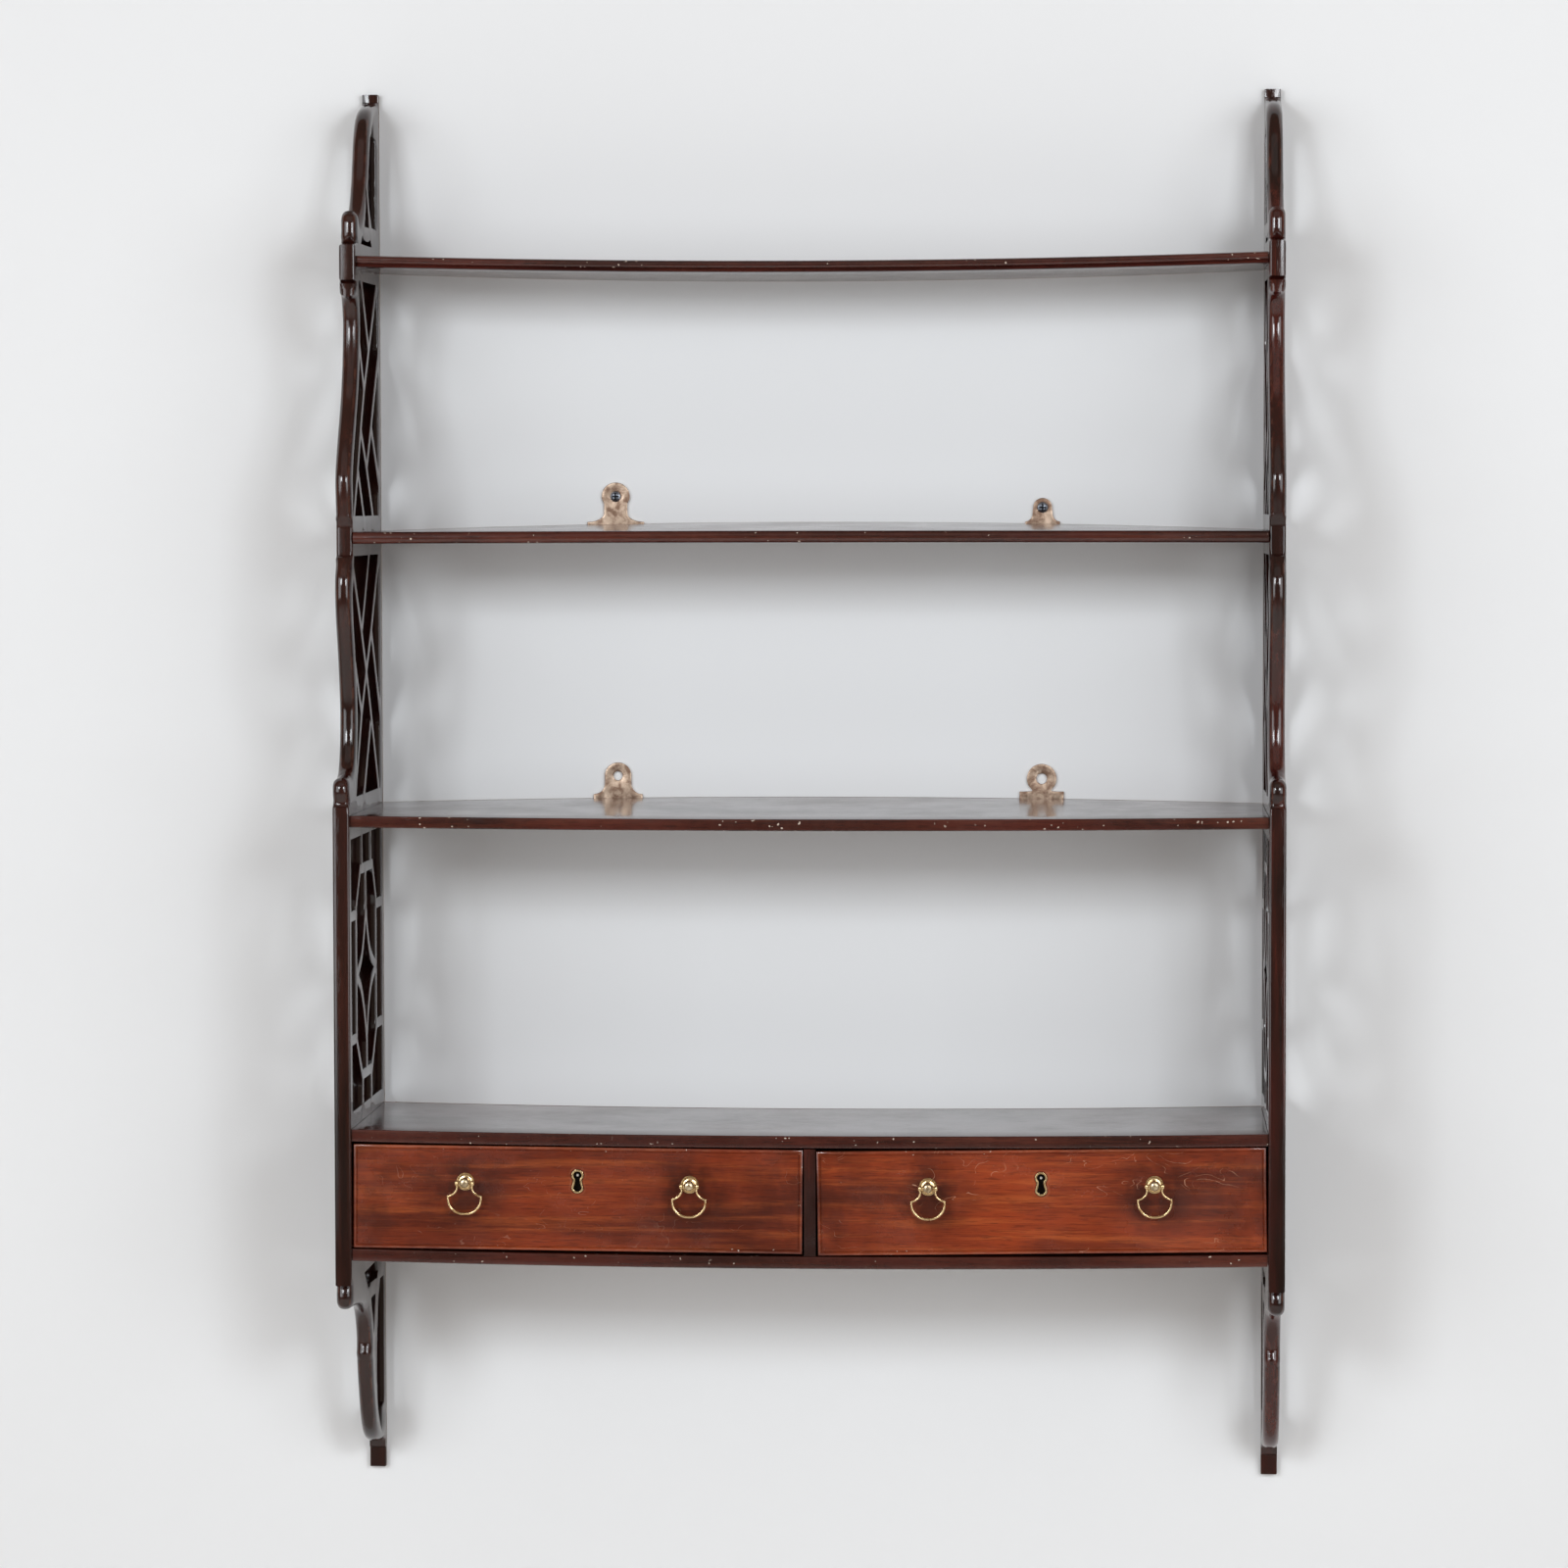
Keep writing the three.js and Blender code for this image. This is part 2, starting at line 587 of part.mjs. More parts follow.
function drawerSide(half, direction) {
  const outer = half;
  const inner = half - DRAWER_WALL;
  const [x0, x1] = direction < 0 ? [-outer, -inner] : [inner, outer];
  const [g0, g1] = direction < 0 ? [-inner - GROOVE, -inner + 1] : [inner - 1, inner + GROOVE];
  const board = box(x0, x1, FRONT_BACK_Y + GAP, DRAWER_BACK_Y, -HALF_HEIGHT, WALL_TOP);
  const bottomTop = BOTTOM_Z + DRAWER_BOTTOM_THICKNESS + GAP;
  const frontY = FRONT_BACK_Y - TAIL_LENGTH - 2;
  const bottomGroove = box(g0, g1, frontY, DRAWER_BACK_Y + 1, BOTTOM_Z - GAP, bottomTop);
  const backY = DRAWER_BACK_Y - BACK_INSET;
  const backGroove = box(g0, g1, backY - DRAWER_WALL - GAP, backY + GAP, BOTTOM_Z, WALL_TOP + 1);
  return board.add(tails(x0, x1, 0)).subtract(union([bottomGroove, backGroove]));
}

function drawerBack(half) {
  const reach = half - DRAWER_WALL + GROOVE - GAP;
  const y1 = DRAWER_BACK_Y - BACK_INSET;
  return box(-reach, reach, y1 - DRAWER_WALL, y1, BOTTOM_Z + DRAWER_BOTTOM_THICKNESS + GAP, WALL_TOP - 2);
}

function drawerBottom(half) {
  const reach = half - DRAWER_WALL + GROOVE - GAP;
  const top = BOTTOM_Z + DRAWER_BOTTOM_THICKNESS;
  return box(-reach, reach, FRONT_BACK_Y - GROOVE + GAP, DRAWER_BACK_Y - BACK_INSET, BOTTOM_Z, top);
}

function escutcheon() {
  const rim = keyhole(KEYHOLE_OUTER, 0, DRAWER_FACE_Y - RIM_PROUD, DRAWER_FACE_Y + RIM_DEPTH);
  return rim.subtract(keyhole(KEYHOLE_INNER, 0, DRAWER_FACE_Y - 2, DRAWER_FACE_Y + RIM_DEPTH + 1));
}

// The lock is let into the back of the front; its bolt slides in a channel open at the back and top.
function lockCase() {
  const y0 = FRONT_BACK_Y - LOCK.recess;
  const reach = LOCK.width / 2;
  const body = box(-reach, reach, y0, y0 + LOCK.depth, HALF_HEIGHT - LOCK.height, HALF_HEIGHT);
  const pin = rodAlongY(0.9, y0 - 3.5, y0 + 1, 0, KEYHOLE_Z, 10);
  const channel = box(-BOLT.width / 2 - GAP, BOLT.width / 2 + GAP, BOLT_Y - GAP, y0 + LOCK.depth + 1,
    HALF_HEIGHT - BOLT.height - 2, HALF_HEIGHT + 1);
  return body.add(pin).subtract(channel);
}

function lockBolt() {
  const half = BOLT.width / 2;
  return box(-half, half, BOLT_Y, BOLT_Y + BOLT.thickness, HALF_HEIGHT - BOLT.height, HALF_HEIGHT);
}

// The mortise in the underside of the case top that takes the raised bolt.
function boltMortise(drawer) {
  const x = (drawer.from + drawer.to) / 2;
  const half = BOLT.width / 2 + 1.5;
  const board = BOARDS.case_top;
  const bottom = board.top - board.thickness;
  return box(x - half, x + half, BOLT_Y - 1.5, BOLT_Y + BOLT.thickness + 1.5, bottom - 6, bottom + 3.2);
}

// ---------------------------------------------------------------- drop handles

const POST = { head: 3.7, shank: 1.7, hole: 1.2, tail: 3.6 };
const ROSETTE = { radius: 6.6, height: 2.3 };
const WIRE = 0.85;

function handlePost() {
  const { head, shank, hole } = POST;
  const start = ROSETTE.height + GAP;
  const end = -FRONT_THICKNESS - POST.tail;
  const profile = [[0, end], [shank, end], [shank, start], [head, start],
    [head, 8.6], [head * 0.82, 9.8], [head * 0.45, 10.5], [0, 10.7]];
  const pivotHole = rodAlongX(hole, -head - 1, head + 1, -PIVOT_OUT, 0, 8);
  return turned(profile, 12).subtract(pivotHole);
}

function rosette() {
  const { radius, height } = ROSETTE;
  const bore = POST.shank + GAP;
  const profile = [[bore, GAP], [radius, GAP], [radius, 0.9], [radius * 0.83, 1.6],
    [radius * 0.6, height - 0.1], [bore, height], [bore, GAP]];
  return turned(profile, 16);
}

const NUT = { bore: 2, radius: 4, thickness: 2.8, sides: 6 };

function handleNut() {
  const near = -FRONT_THICKNESS - GAP;
  const far = near - NUT.thickness;
  const section = [[NUT.bore, far], [NUT.radius, far], [NUT.radius, near], [NUT.bore, near], [NUT.bore, far]];
  return turned(section, NUT.sides);
}

// Half of the drop, from the pin in the post to the middle of the loop.
const DROP = [
  [1.7, 0], [4.4, 0], [6, -0.5], [5.8, -2.8], [5.6, -4.8], [6.8, -7.2], [9.2, -9.2],
  [11.9, -10.4], [12.1, -13], [10.9, -17.2], [7.6, -21], [3.8, -22.9], [0, -23.3],
];

function bail() {
  const right = DROP.map(([x, z]) => new THREE.Vector3(x, 0, z));
  const left = DROP.slice(0, -1).reverse().map(([x, z]) => new THREE.Vector3(-x, 0, z));
  const path = new THREE.CatmullRomCurve3([...right, ...left], false, 'centripetal');
  const section = shapeOf(arc(0, 0, WIRE, 0, 300, 5));
  return solid(new THREE.ExtrudeGeometry(section, { steps: 36, extrudePath: path, bevelEnabled: false }));
}

function handle(side, end, x) {
  const group = new THREE.Group();
  group.position.set(x, DRAWER_FACE_Y, HANDLE_Z);
  const label = `${side}_${end}`;
  const drop = meshOf(`handle_bail_${label}`, bail(), brass(0x9a7c3e));
  drop.position.set(0, -PIVOT_OUT, 0);
  group.add(
    meshOf(`handle_rosette_${label}`, rosette(), brass(0x9a7c3e)),
    meshOf(`handle_post_${label}`, handlePost(), brass(0x6d5f45)),
    meshOf(`handle_nut_${label}`, handleNut(), brass(0x7a6a40)),
    drop,
  );
  return group;
}

function drawerGroup(drawer) {
  const { side, from, to, tilt } = drawer;
  const half = (to - from) / 2 - DRAWER_CLEARANCE;
  const group = new THREE.Group();
  group.position.set((from + to) / 2, 0, DRAWER_MIDDLE_Z);
  group.rotation.y = THREE.MathUtils.degToRad(tilt);
  const name = (piece) => `drawer_${side}_${piece}`;
  group.add(
    meshOf(name('front'), drawerFront(half), wood(WOOD.front)),
    meshOf(name('side_left'), drawerSide(half, -1), wood(WOOD.inside)),
    meshOf(name('side_right'), drawerSide(half, 1), wood(WOOD.inside)),
    meshOf(name('back'), drawerBack(half), wood(WOOD.inside)),
    meshOf(name('bottom'), drawerBottom(half), wood(WOOD.inside)),
    meshOf(name('escutcheon'), escutcheon(), brass(0x9a7c3e)),
    meshOf(name('lock_case'), lockCase(), brass(0x80704a)),
    meshOf(name('lock_bolt'), lockBolt(), steel()),
    handle(side, 'left', -HANDLE_X),
    handle(side, 'right', HANDLE_X),
  );
  return group;
}

// ---------------------------------------------------------------- the whole shelf

function recessesFor(name) {
  const plates = PLATES.filter((plate) => plate.board === name);
  const screws = plates.flatMap(plateScrewSpots);
  const holes = screws.map((spot) => screwHole(spot, PLATE_SCREW.shank, PLATE_SCREW.length));
  return [...plates.map(plateRecess), ...holes];
}

function wallShelf() {
  const shelf = new THREE.Group();
  shelf.position.z = -DATUM;
  shelf.add(sidePiece('side_left', -1), sidePiece('side_right', 1));
  shelf.add(boardPiece('shelf_top'));
  shelf.add(boardPiece('shelf_middle', recessesFor('shelf_middle')));
  shelf.add(boardPiece('shelf_low', recessesFor('shelf_low')));
  shelf.add(boardPiece('case_top', DRAWERS.map(boltMortise)));
  shelf.add(boardPiece('case_bottom'), divider(), caseBack());
  for (const plate of PLATES) {
    shelf.add(wallPlate(plate));
    plateScrewSpots(plate).forEach((spot, i) => {
      shelf.add(plateScrew(`plate_screw_${plate.name}_${i + 1}`, spot));
    });
    if (plate.screw) {
      shelf.add(wallScrew(plate));
    }
  }
  for (const drawer of DRAWERS) {
    shelf.add(drawerGroup(drawer));
  }
  const root = new THREE.Group();
  root.add(shelf);
  return root;
}

export default wallShelf();
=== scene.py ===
"""Hanging wall shelf with fretted sides, open shelves and two small drawers: looks and lighting."""

import json
import math

import bmesh
import bpy
import numpy as np
from mathutils import Matrix, Vector
from mathutils.bvhtree import BVHTree
from mathutils.geometry import delaunay_2d_cdt

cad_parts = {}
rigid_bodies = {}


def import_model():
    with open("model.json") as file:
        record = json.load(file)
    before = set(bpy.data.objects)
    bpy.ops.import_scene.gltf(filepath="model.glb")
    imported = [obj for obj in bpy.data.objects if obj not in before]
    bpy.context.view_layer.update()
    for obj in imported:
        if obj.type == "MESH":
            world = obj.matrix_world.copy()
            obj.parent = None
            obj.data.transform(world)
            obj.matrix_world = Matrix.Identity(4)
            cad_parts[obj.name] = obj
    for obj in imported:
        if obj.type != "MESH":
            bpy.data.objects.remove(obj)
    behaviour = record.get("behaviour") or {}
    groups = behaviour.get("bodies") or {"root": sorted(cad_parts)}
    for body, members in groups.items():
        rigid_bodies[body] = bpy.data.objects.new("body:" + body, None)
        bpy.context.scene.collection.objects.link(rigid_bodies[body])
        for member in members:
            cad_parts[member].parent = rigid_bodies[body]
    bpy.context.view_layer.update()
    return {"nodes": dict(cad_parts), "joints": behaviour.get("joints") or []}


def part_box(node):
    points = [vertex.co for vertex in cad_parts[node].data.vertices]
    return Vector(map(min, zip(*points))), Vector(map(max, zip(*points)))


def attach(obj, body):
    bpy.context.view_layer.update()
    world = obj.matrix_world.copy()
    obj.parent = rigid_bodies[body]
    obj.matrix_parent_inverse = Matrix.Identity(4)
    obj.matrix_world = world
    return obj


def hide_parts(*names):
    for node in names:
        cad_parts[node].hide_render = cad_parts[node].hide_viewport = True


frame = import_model()

NODES = frame["nodes"]
MM = 0.001

# ------------------------------------------------------------------ places read from the frame

SIDE_LOW, SIDE_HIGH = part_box("side_left")
INNER_X = -SIDE_HIGH.x
SIDE_THICKNESS = SIDE_HIGH.x - SIDE_LOW.x
FOOT_Z = SIDE_LOW.z
DRAWERS = ("left", "right")
ENDS = ("left", "right")
PLATES = ("upper_left", "upper_right", "lower_left", "lower_right")


def joint_named(name):
    return next(j for j in frame["joints"] if j["name"] == name)


def drawer_matrix(side):
    """A drawer's own frame in the CAD frame: x along its width, y outwards, origin between its handles."""
    pivots = [Vector(joint_named(f"bail_{side}_{end}_hinge")["pos_m"]) for end in ENDS]
    across = (pivots[1] - pivots[0]).normalized()
    up = across.cross(Vector((0, 1, 0)))
    middle = (pivots[0] + pivots[1]) / 2
    matrix = Matrix.Identity(4)
    for column, axis in enumerate((across, Vector((0, 1, 0)), up)):
        for row in range(3):
            matrix[row][column] = axis[row]
    matrix.translation = (middle.x, 0, middle.z)
    return matrix


DRAWER_FRAME = {side: drawer_matrix(side) for side in DRAWERS}
HANDLE_X = (
    Vector(joint_named("bail_left_right_hinge")["pos_m"])
    - Vector(joint_named("bail_left_left_hinge")["pos_m"])
).length / 2
PIVOT_Y = joint_named("bail_left_left_hinge")["pos_m"][1]
FRONT_LOW, FRONT_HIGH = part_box("drawer_left_front")
FACE_Y = FRONT_LOW.y
FRONT_THICKNESS = FRONT_HIGH.y - FRONT_LOW.y
KEYHOLE_RISE = 5.5 * MM


# ------------------------------------------------------------------ mesh helpers

def new_object(name, mesh, body, material=None, nodes=()):
    obj = bpy.data.objects.new(name, mesh)
    bpy.context.scene.collection.objects.link(obj)
    if material:
        mesh.materials.append(material)
    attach(obj, body)
    if nodes:
        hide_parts(*nodes)
    return obj


def smooth(mesh, angle=35):
    mesh.polygons.foreach_set("use_smooth", [True] * len(mesh.polygons))
    mesh.set_sharp_from_angle(angle=math.radians(angle))


def mesh_from(name, vertices, faces, edge_wear=None, angle=35, hole_wall_shade=None):
    mesh = bpy.data.meshes.new(name)
    mesh.from_pydata([tuple(v) for v in vertices], [], faces)
    # Besides the rubbed edges, a mask of the walls of holes, which the wood finishes darken as painted shade.
    for attribute, values in (("edge_wear", edge_wear), ("hole_wall_shade", hole_wall_shade)):
        if values is not None:
            layer = mesh.attributes.new(attribute, "FLOAT", "POINT")
            layer.data.foreach_set("value", np.asarray(values, dtype=np.float32))
    mesh.validate()
    builder = bmesh.new()
    builder.from_mesh(mesh)
    bmesh.ops.remove_doubles(builder, verts=builder.verts, dist=1e-7)
    bmesh.ops.recalc_face_normals(builder, faces=builder.faces)
    builder.to_mesh(mesh)
    builder.free()
    smooth(mesh, angle)
    return mesh


FLAT_TOLERANCE = 2e-5
WELD = 1e-6


def face_loops(node, axis, value, to_local=None):
    """Closed outlines of the flat faces of a CAD node that lie at one coordinate, as 2D arrays."""
    builder = bmesh.new()
    builder.from_mesh(NODES[node].data)
    if to_local:
        builder.transform(to_local)
    bmesh.ops.remove_doubles(builder, verts=builder.verts, dist=WELD)
    flat = {f for f in builder.faces if all(abs(v.co[axis] - value) < FLAT_TOLERANCE for v in f.verts)}
    rim = [e for e in builder.edges if sum(f in flat for f in e.link_faces) == 1]
    follow = {}
    for edge in rim:
        for v in edge.verts:
            follow.setdefault(v, []).append(edge)
    keep = [i for i in range(3) if i != axis]
    loops, used = [], set()
    for start in rim:
        if start in used:
            continue
        vertex, edge, loop = start.verts[0], start, []
        while edge is not None:
            used.add(edge)
            loop.append([vertex.co[i] for i in keep])
            vertex = edge.other_vert(vertex)
            edge = next((e for e in follow[vertex] if e not in used), None)
        loops.append(straightened(np.array(loop)))
    builder.free()
    return sorted(loops, key=lambda points: -abs(area(points)))


def area(points):
    x, y = points[:, 0], points[:, 1]
    return 0.5 * float(np.sum(x * np.roll(y, -1) - y * np.roll(x, -1)))


def straightened(points):
    """Without the points that lie on a straight run."""
    before, after = points - np.roll(points, 1, 0), np.roll(points, -1, 0) - points
    cross = before[:, 0] * after[:, 1] - before[:, 1] * after[:, 0]
    scale = np.linalg.norm(before, axis=1) * np.linalg.norm(after, axis=1)
    kept = points[np.abs(cross) > 1e-3 * np.maximum(scale, 1e-12)]
    return kept if area(kept) > 0 else kept[::-1]


def rounded_runs(points, gentle=24, steps=3):
    """Adds points on gentle bends, so that a curve drawn with short straight pieces comes out smooth."""
    before, after = points - np.roll(points, 1, 0), np.roll(points, -1, 0) - points
    turn = np.degrees(np.abs(
        np.arctan2(before[:, 0] * after[:, 1] - before[:, 1] * after[:, 0], np.sum(before * after, axis=1))))
    count, result = len(points), []
    for i in range(count):
        p0, p1, p2, p3 = (points[(i + k) % count] for k in (-1, 0, 1, 2))
        result.append(p1)
        if turn[i] < gentle and turn[(i + 1) % count] < gentle and np.linalg.norm(p2 - p1) < 0.03:
            for step in range(1, steps):
                t = step / steps
                result.append(0.5 * (2 * p1 + (p2 - p0) * t + (2 * p0 - 5 * p1 + 4 * p2 - p3) * t * t
                                     + (3 * p1 - p0 - 3 * p2 + p3) * t ** 3))
    return np.array(result)


def split_long(points, longest):
    result = []
    for a, b in zip(points, np.roll(points, -1, 0)):
        parts = max(1, math.ceil(np.linalg.norm(b - a) / longest))
        result += [a + (b - a) * k / parts for k in range(parts)]
    return np.array(result)


def inset(points, distance):
    """The loop moved to its left by a distance, with mitred corners."""
    before, after = points - np.roll(points, 1, 0), np.roll(points, -1, 0) - points
    before /= np.linalg.norm(before, axis=1)[:, None]
    after /= np.linalg.norm(after, axis=1)[:, None]
    left_before = np.stack([-before[:, 1], before[:, 0]], 1)
    left_after = np.stack([-after[:, 1], after[:, 0]], 1)
    middle = left_before + left_after
    middle /= np.maximum(np.linalg.norm(middle, axis=1), 1e-9)[:, None]
    reach = 1 / np.clip(np.sum(middle * left_after, axis=1), 0.45, 1)
    return points + middle * (distance * reach)[:, None]


def inside(points, loop):
    x, y = points[:, 0][:, None], points[:, 1][:, None]
    x1, y1 = loop[:, 0], loop[:, 1]
    x2, y2 = np.roll(x1, -1), np.roll(y1, -1)
    spans = (y1 > y) != (y2 > y)
    with np.errstate(divide="ignore", invalid="ignore"):
        crossing = x < (x2 - x1) * (y - y1) / (y2 - y1) + x1
    return (np.sum(spans & crossing, axis=1) % 2) == 1


def distance_to(points, loop):
    """Distance of each point to a closed loop, and the nearest point on it."""
    a, b = loop, np.roll(loop, -1, 0)
    run = b - a
    length = np.maximum(np.sum(run * run, axis=1), 1e-18)
    t = np.clip(np.sum((points[:, None] - a) * run, axis=2) / length, 0, 1)
    near = a + t[..., None] * run
    gap = np.linalg.norm(points[:, None] - near, axis=2)
    best = np.argmin(gap, axis=1)
    rows = np.arange(len(points))
    return gap[rows, best], near[rows, best]


def relief(name, loops, rim_steps, hole_steps, height, place, wear_width, back=None, angle=35):
    """A flat board with holes, worked along its edges. height(s_rim, near_rim, s_hole) gives how far a point
    of the front stands from the middle, back the same for the rear, and place(u, v, w) puts it in the row."""
    outline, holes = loops[0], [hole[::-1] for hole in loops[1:]]
    lines = [outline] + [inset(outline, s) for s in rim_steps]
    for hole in holes:
        lines += [hole] + [inset(hole, s) for s in hole_steps]
    coords, edges = [], []
    for line in lines:
        start = len(coords)
        coords += [Vector(p) for p in line]
        edges += [(start + i, start + (i + 1) % len(line)) for i in range(len(line))]
    found = delaunay_2d_cdt(coords, edges, [], 0, 1e-7)
    flat, triangles = np.array([[v.x, v.y] for v in found[0]]), np.array(found[2])
    centres = flat[triangles].mean(axis=1)
    kept = inside(centres, outline)
    for hole in holes:
        kept &= ~inside(centres, hole)
    triangles = triangles[kept]
    index = np.unique(triangles)
    renumber = -np.ones(len(flat), int)
    renumber[index] = np.arange(len(index))
    flat, triangles = flat[index], renumber[triangles]
    s_rim, near_rim = distance_to(flat, outline)
    s_hole = np.full(len(flat), 1.0)
    for hole in holes:
        s_hole = np.minimum(s_hole, distance_to(flat, hole)[0])
    front = height(s_rim, near_rim, s_hole)
    rear = (back or height)(s_rim, near_rim, s_hole)
    count = len(flat)
    vertices = [place(u, v, w) for (u, v), w in zip(flat, front)]
    vertices += [place(u, v, -w) for (u, v), w in zip(flat, rear)]
    faces = [tuple(t) for t in triangles] + [tuple(t[::-1] + count) for t in triangles]
    seen = {}
    for t in triangles:
        for a, b in ((t[0], t[1]), (t[1], t[2]), (t[2], t[0])):
            seen[(a, b)] = seen.get((a, b), 0) + 1
    faces += [(b, a, a + count, b + count) for a, b in seen if (b, a) not in seen]
    arris = np.minimum(s_rim, s_hole) / wear_width
    worn = np.clip(np.minimum(arris * 3, 1.5 - arris * 1.5), 0, 1)
    # The walls of the holes, to be darkened by the wood finishes as painted shade inside each piercing.
    wall = s_hole < 0.05 * MM
    return mesh_from(name, vertices, faces, np.tile(worn, 2), angle, np.tile(wall, 2))


def cut_boxes(mesh, boxes, angle):
    """The same mesh with boxes, each a low and a high corner, cut out of it."""
    scene = bpy.context.scene.collection.objects
    solid = bpy.data.objects.new("uncut", mesh)
    scene.link(solid)
    cutters = []
    for low, high in boxes:
        builder = bmesh.new()
        size = Matrix.Diagonal((*(high - low), 1))
        bmesh.ops.create_cube(builder, size=1, matrix=Matrix.Translation((low + high) / 2) @ size)
        shape = bpy.data.meshes.new("cutter")
        builder.to_mesh(shape)
        builder.free()
        cutters.append(bpy.data.objects.new("cutter", shape))
        scene.link(cutters[-1])
        cut = solid.modifiers.new("cut", "BOOLEAN")
        cut.object = cutters[-1]
        cut.operation = "DIFFERENCE"
        cut.solver = "EXACT"
    result = bpy.data.meshes.new_from_object(solid.evaluated_get(bpy.context.evaluated_depsgraph_get()))
    for obj in [solid, *cutters]:
        bpy.data.meshes.remove(obj.data)
    smooth(result, angle)
    return result


def quarter_round(s, radius):
    """How much is taken off the face at a distance s from an edge that is rounded to a radius."""
    inner = np.clip(radius - s, 0, radius)
    return radius - np.sqrt(np.maximum(radius ** 2 - inner ** 2, 0))


def lathe(profile, segments=40):
    """Turned about the Y axis: [radius, distance out along -Y] points in millimetres."""
    vertices, faces, rings = [], [], []
    for radius, out in profile:
        if radius < 1e-6:
            rings.append([len(vertices)])
            vertices.append((0, -out * MM, 0))
            continue
        rings.append(list(range(len(vertices), len(vertices) + segments)))
        for k in range(segments):
            angle = 2 * math.pi * k / segments
            vertices.append((radius * MM * math.cos(angle), -out * MM, radius * MM * math.sin(angle)))
    for low, high in zip(rings, rings[1:]):
        for k in range(segments):
            m = (k + 1) % segments
            ring = [low[k % len(low)], low[m % len(low)], high[m % len(high)], high[k % len(high)]]
            faces.append(tuple(dict.fromkeys(ring)))
    return vertices, [f for f in faces if len(f) > 2]


def moved(vertices, matrix):
    return [tuple(matrix @ Vector(v)) for v in vertices]


def joined(parts):
    vertices, faces = [], []
    for part_vertices, part_faces in parts:
        start = len(vertices)
        vertices += list(part_vertices)
        faces += [tuple(i + start for i in face) for face in part_faces]
    return vertices, faces


def catmull(points, steps):
    points = [Vector(p) for p in points]
    padded = [2 * points[0] - points[1], *points, 2 * points[-1] - points[-2]]
    result = []
    for p0, p1, p2, p3 in zip(padded, padded[1:], padded[2:], padded[3:]):
        for k in range(steps):
            t = k / steps
            result.append(0.5 * (2 * p1 + (p2 - p0) * t + (2 * p0 - 5 * p1 + 4 * p2 - p3) * t * t
                                 + (3 * p1 - p0 - 3 * p2 + p3) * t ** 3))
    return [*result, points[-1]]


def swept(points, radii, sides=14):
    """A closed wire of changing thickness along a path that stays in one XZ plane."""
    vertices, faces = [], []
    count = len(points)
    for i, point in enumerate(points):
        run = (points[min(i + 1, count - 1)] - points[max(i - 1, 0)]).normalized()
        across = run.cross(Vector((0, 1, 0))).normalized()
        for k in range(sides):
            angle = 2 * math.pi * k / sides
            offset = across * math.cos(angle) + Vector((0, 1, 0)) * math.sin(angle)
            vertices.append(tuple(point + offset * radii[i]))
    for i in range(count - 1):
        for k in range(sides):
            m = (k + 1) % sides
            faces.append((i * sides + k, i * sides + m, (i + 1) * sides + m, (i + 1) * sides + k))
    faces.append(tuple(range(sides))[::-1])
    faces.append(tuple((count - 1) * sides + k for k in range(sides)))
    return vertices, faces


# ------------------------------------------------------------------ materials

class Nodes:
    """Short names for building one material's nodes."""

    def __init__(self, name):
        self.material = bpy.data.materials.new(name)
        self.material.use_nodes = True
        self.tree = self.material.node_tree
        self.shader = self.tree.nodes["Principled BSDF"]
        self.coords = self.tree.nodes.new("ShaderNodeTexCoord").outputs["Object"]

    def link(self, source, target):
        self.tree.links.new(source, target)

    def scaled(self, scale, location=(0, 0, 0)):
        node = self.tree.nodes.new("ShaderNodeMapping")
        node.inputs["Scale"].default_value = scale
        node.inputs["Location"].default_value = location
        self.link(self.coords, node.inputs["Vector"])
        return node.outputs["Vector"]

    def noise(self, vector, scale=1.0, detail=4.0, roughness=0.55, distortion=0.0):
        node = self.tree.nodes.new("ShaderNodeTexNoise")
        node.inputs["Scale"].default_value = scale
        node.inputs["Detail"].default_value = detail
        node.inputs["Roughness"].default_value = roughness
        node.inputs["Distortion"].default_value = distortion
        self.link(vector, node.inputs["Vector"])
        return node.outputs["Fac"]

    def ramp(self, value, low, high, to_low=0.0, to_high=1.0):
        node = self.tree.nodes.new("ShaderNodeMapRange")
        node.interpolation_type = "SMOOTHSTEP"
        for socket, number in zip(("From Min", "From Max", "To Min", "To Max"), (low, high, to_low, to_high)):
            node.inputs[socket].default_value = number
        self.link(value, node.inputs["Value"])
        return node.outputs["Result"]

    def math(self, operation, a, b):
        node = self.tree.nodes.new("ShaderNodeMath")
        node.operation = operation
        for socket, value in zip(node.inputs, (a, b)):
            if isinstance(value, (int, float)):
                socket.default_value = value
            else:
                self.link(value, socket)
        return node.outputs["Value"]

    def mix(self, factor, a, b):
        node = self.tree.nodes.new("ShaderNodeMix")
        node.data_type = "RGBA"
        for socket, value in ((node.inputs[0], factor), (node.inputs[6], a), (node.inputs[7], b)):
            if isinstance(value, (int, float)):
                socket.default_value = value
            elif isinstance(value, tuple):
                socket.default_value = (*value, 1)
            else:
                self.link(value, socket)
        return node.outputs[2]

    def attribute(self, name):
        node = self.tree.nodes.new("ShaderNodeAttribute")
        node.attribute_name = name
        return node.outputs["Fac"]

    def near(self, point, reach, soft):
        """1 around a point of the object, falling to 0."""
        node = self.tree.nodes.new("ShaderNodeVectorMath")
        node.operation = "DISTANCE"
        node.inputs[1].default_value = point
        self.link(self.coords, node.inputs[0])
        return self.ramp(node.outputs["Value"], reach, reach + soft, 1, 0)

    def bump(self, height, strength, distance):
        node = self.tree.nodes.new("ShaderNodeBump")
        node.inputs["Strength"].default_value = strength
        node.inputs["Distance"].default_value = distance
        self.link(height, node.inputs["Height"])
        self.link(node.outputs["Normal"], self.shader.inputs["Normal"])

    def set(self, **values):
        for name, value in values.items():
            self.shader.inputs[name.replace("_", " ")].default_value = value


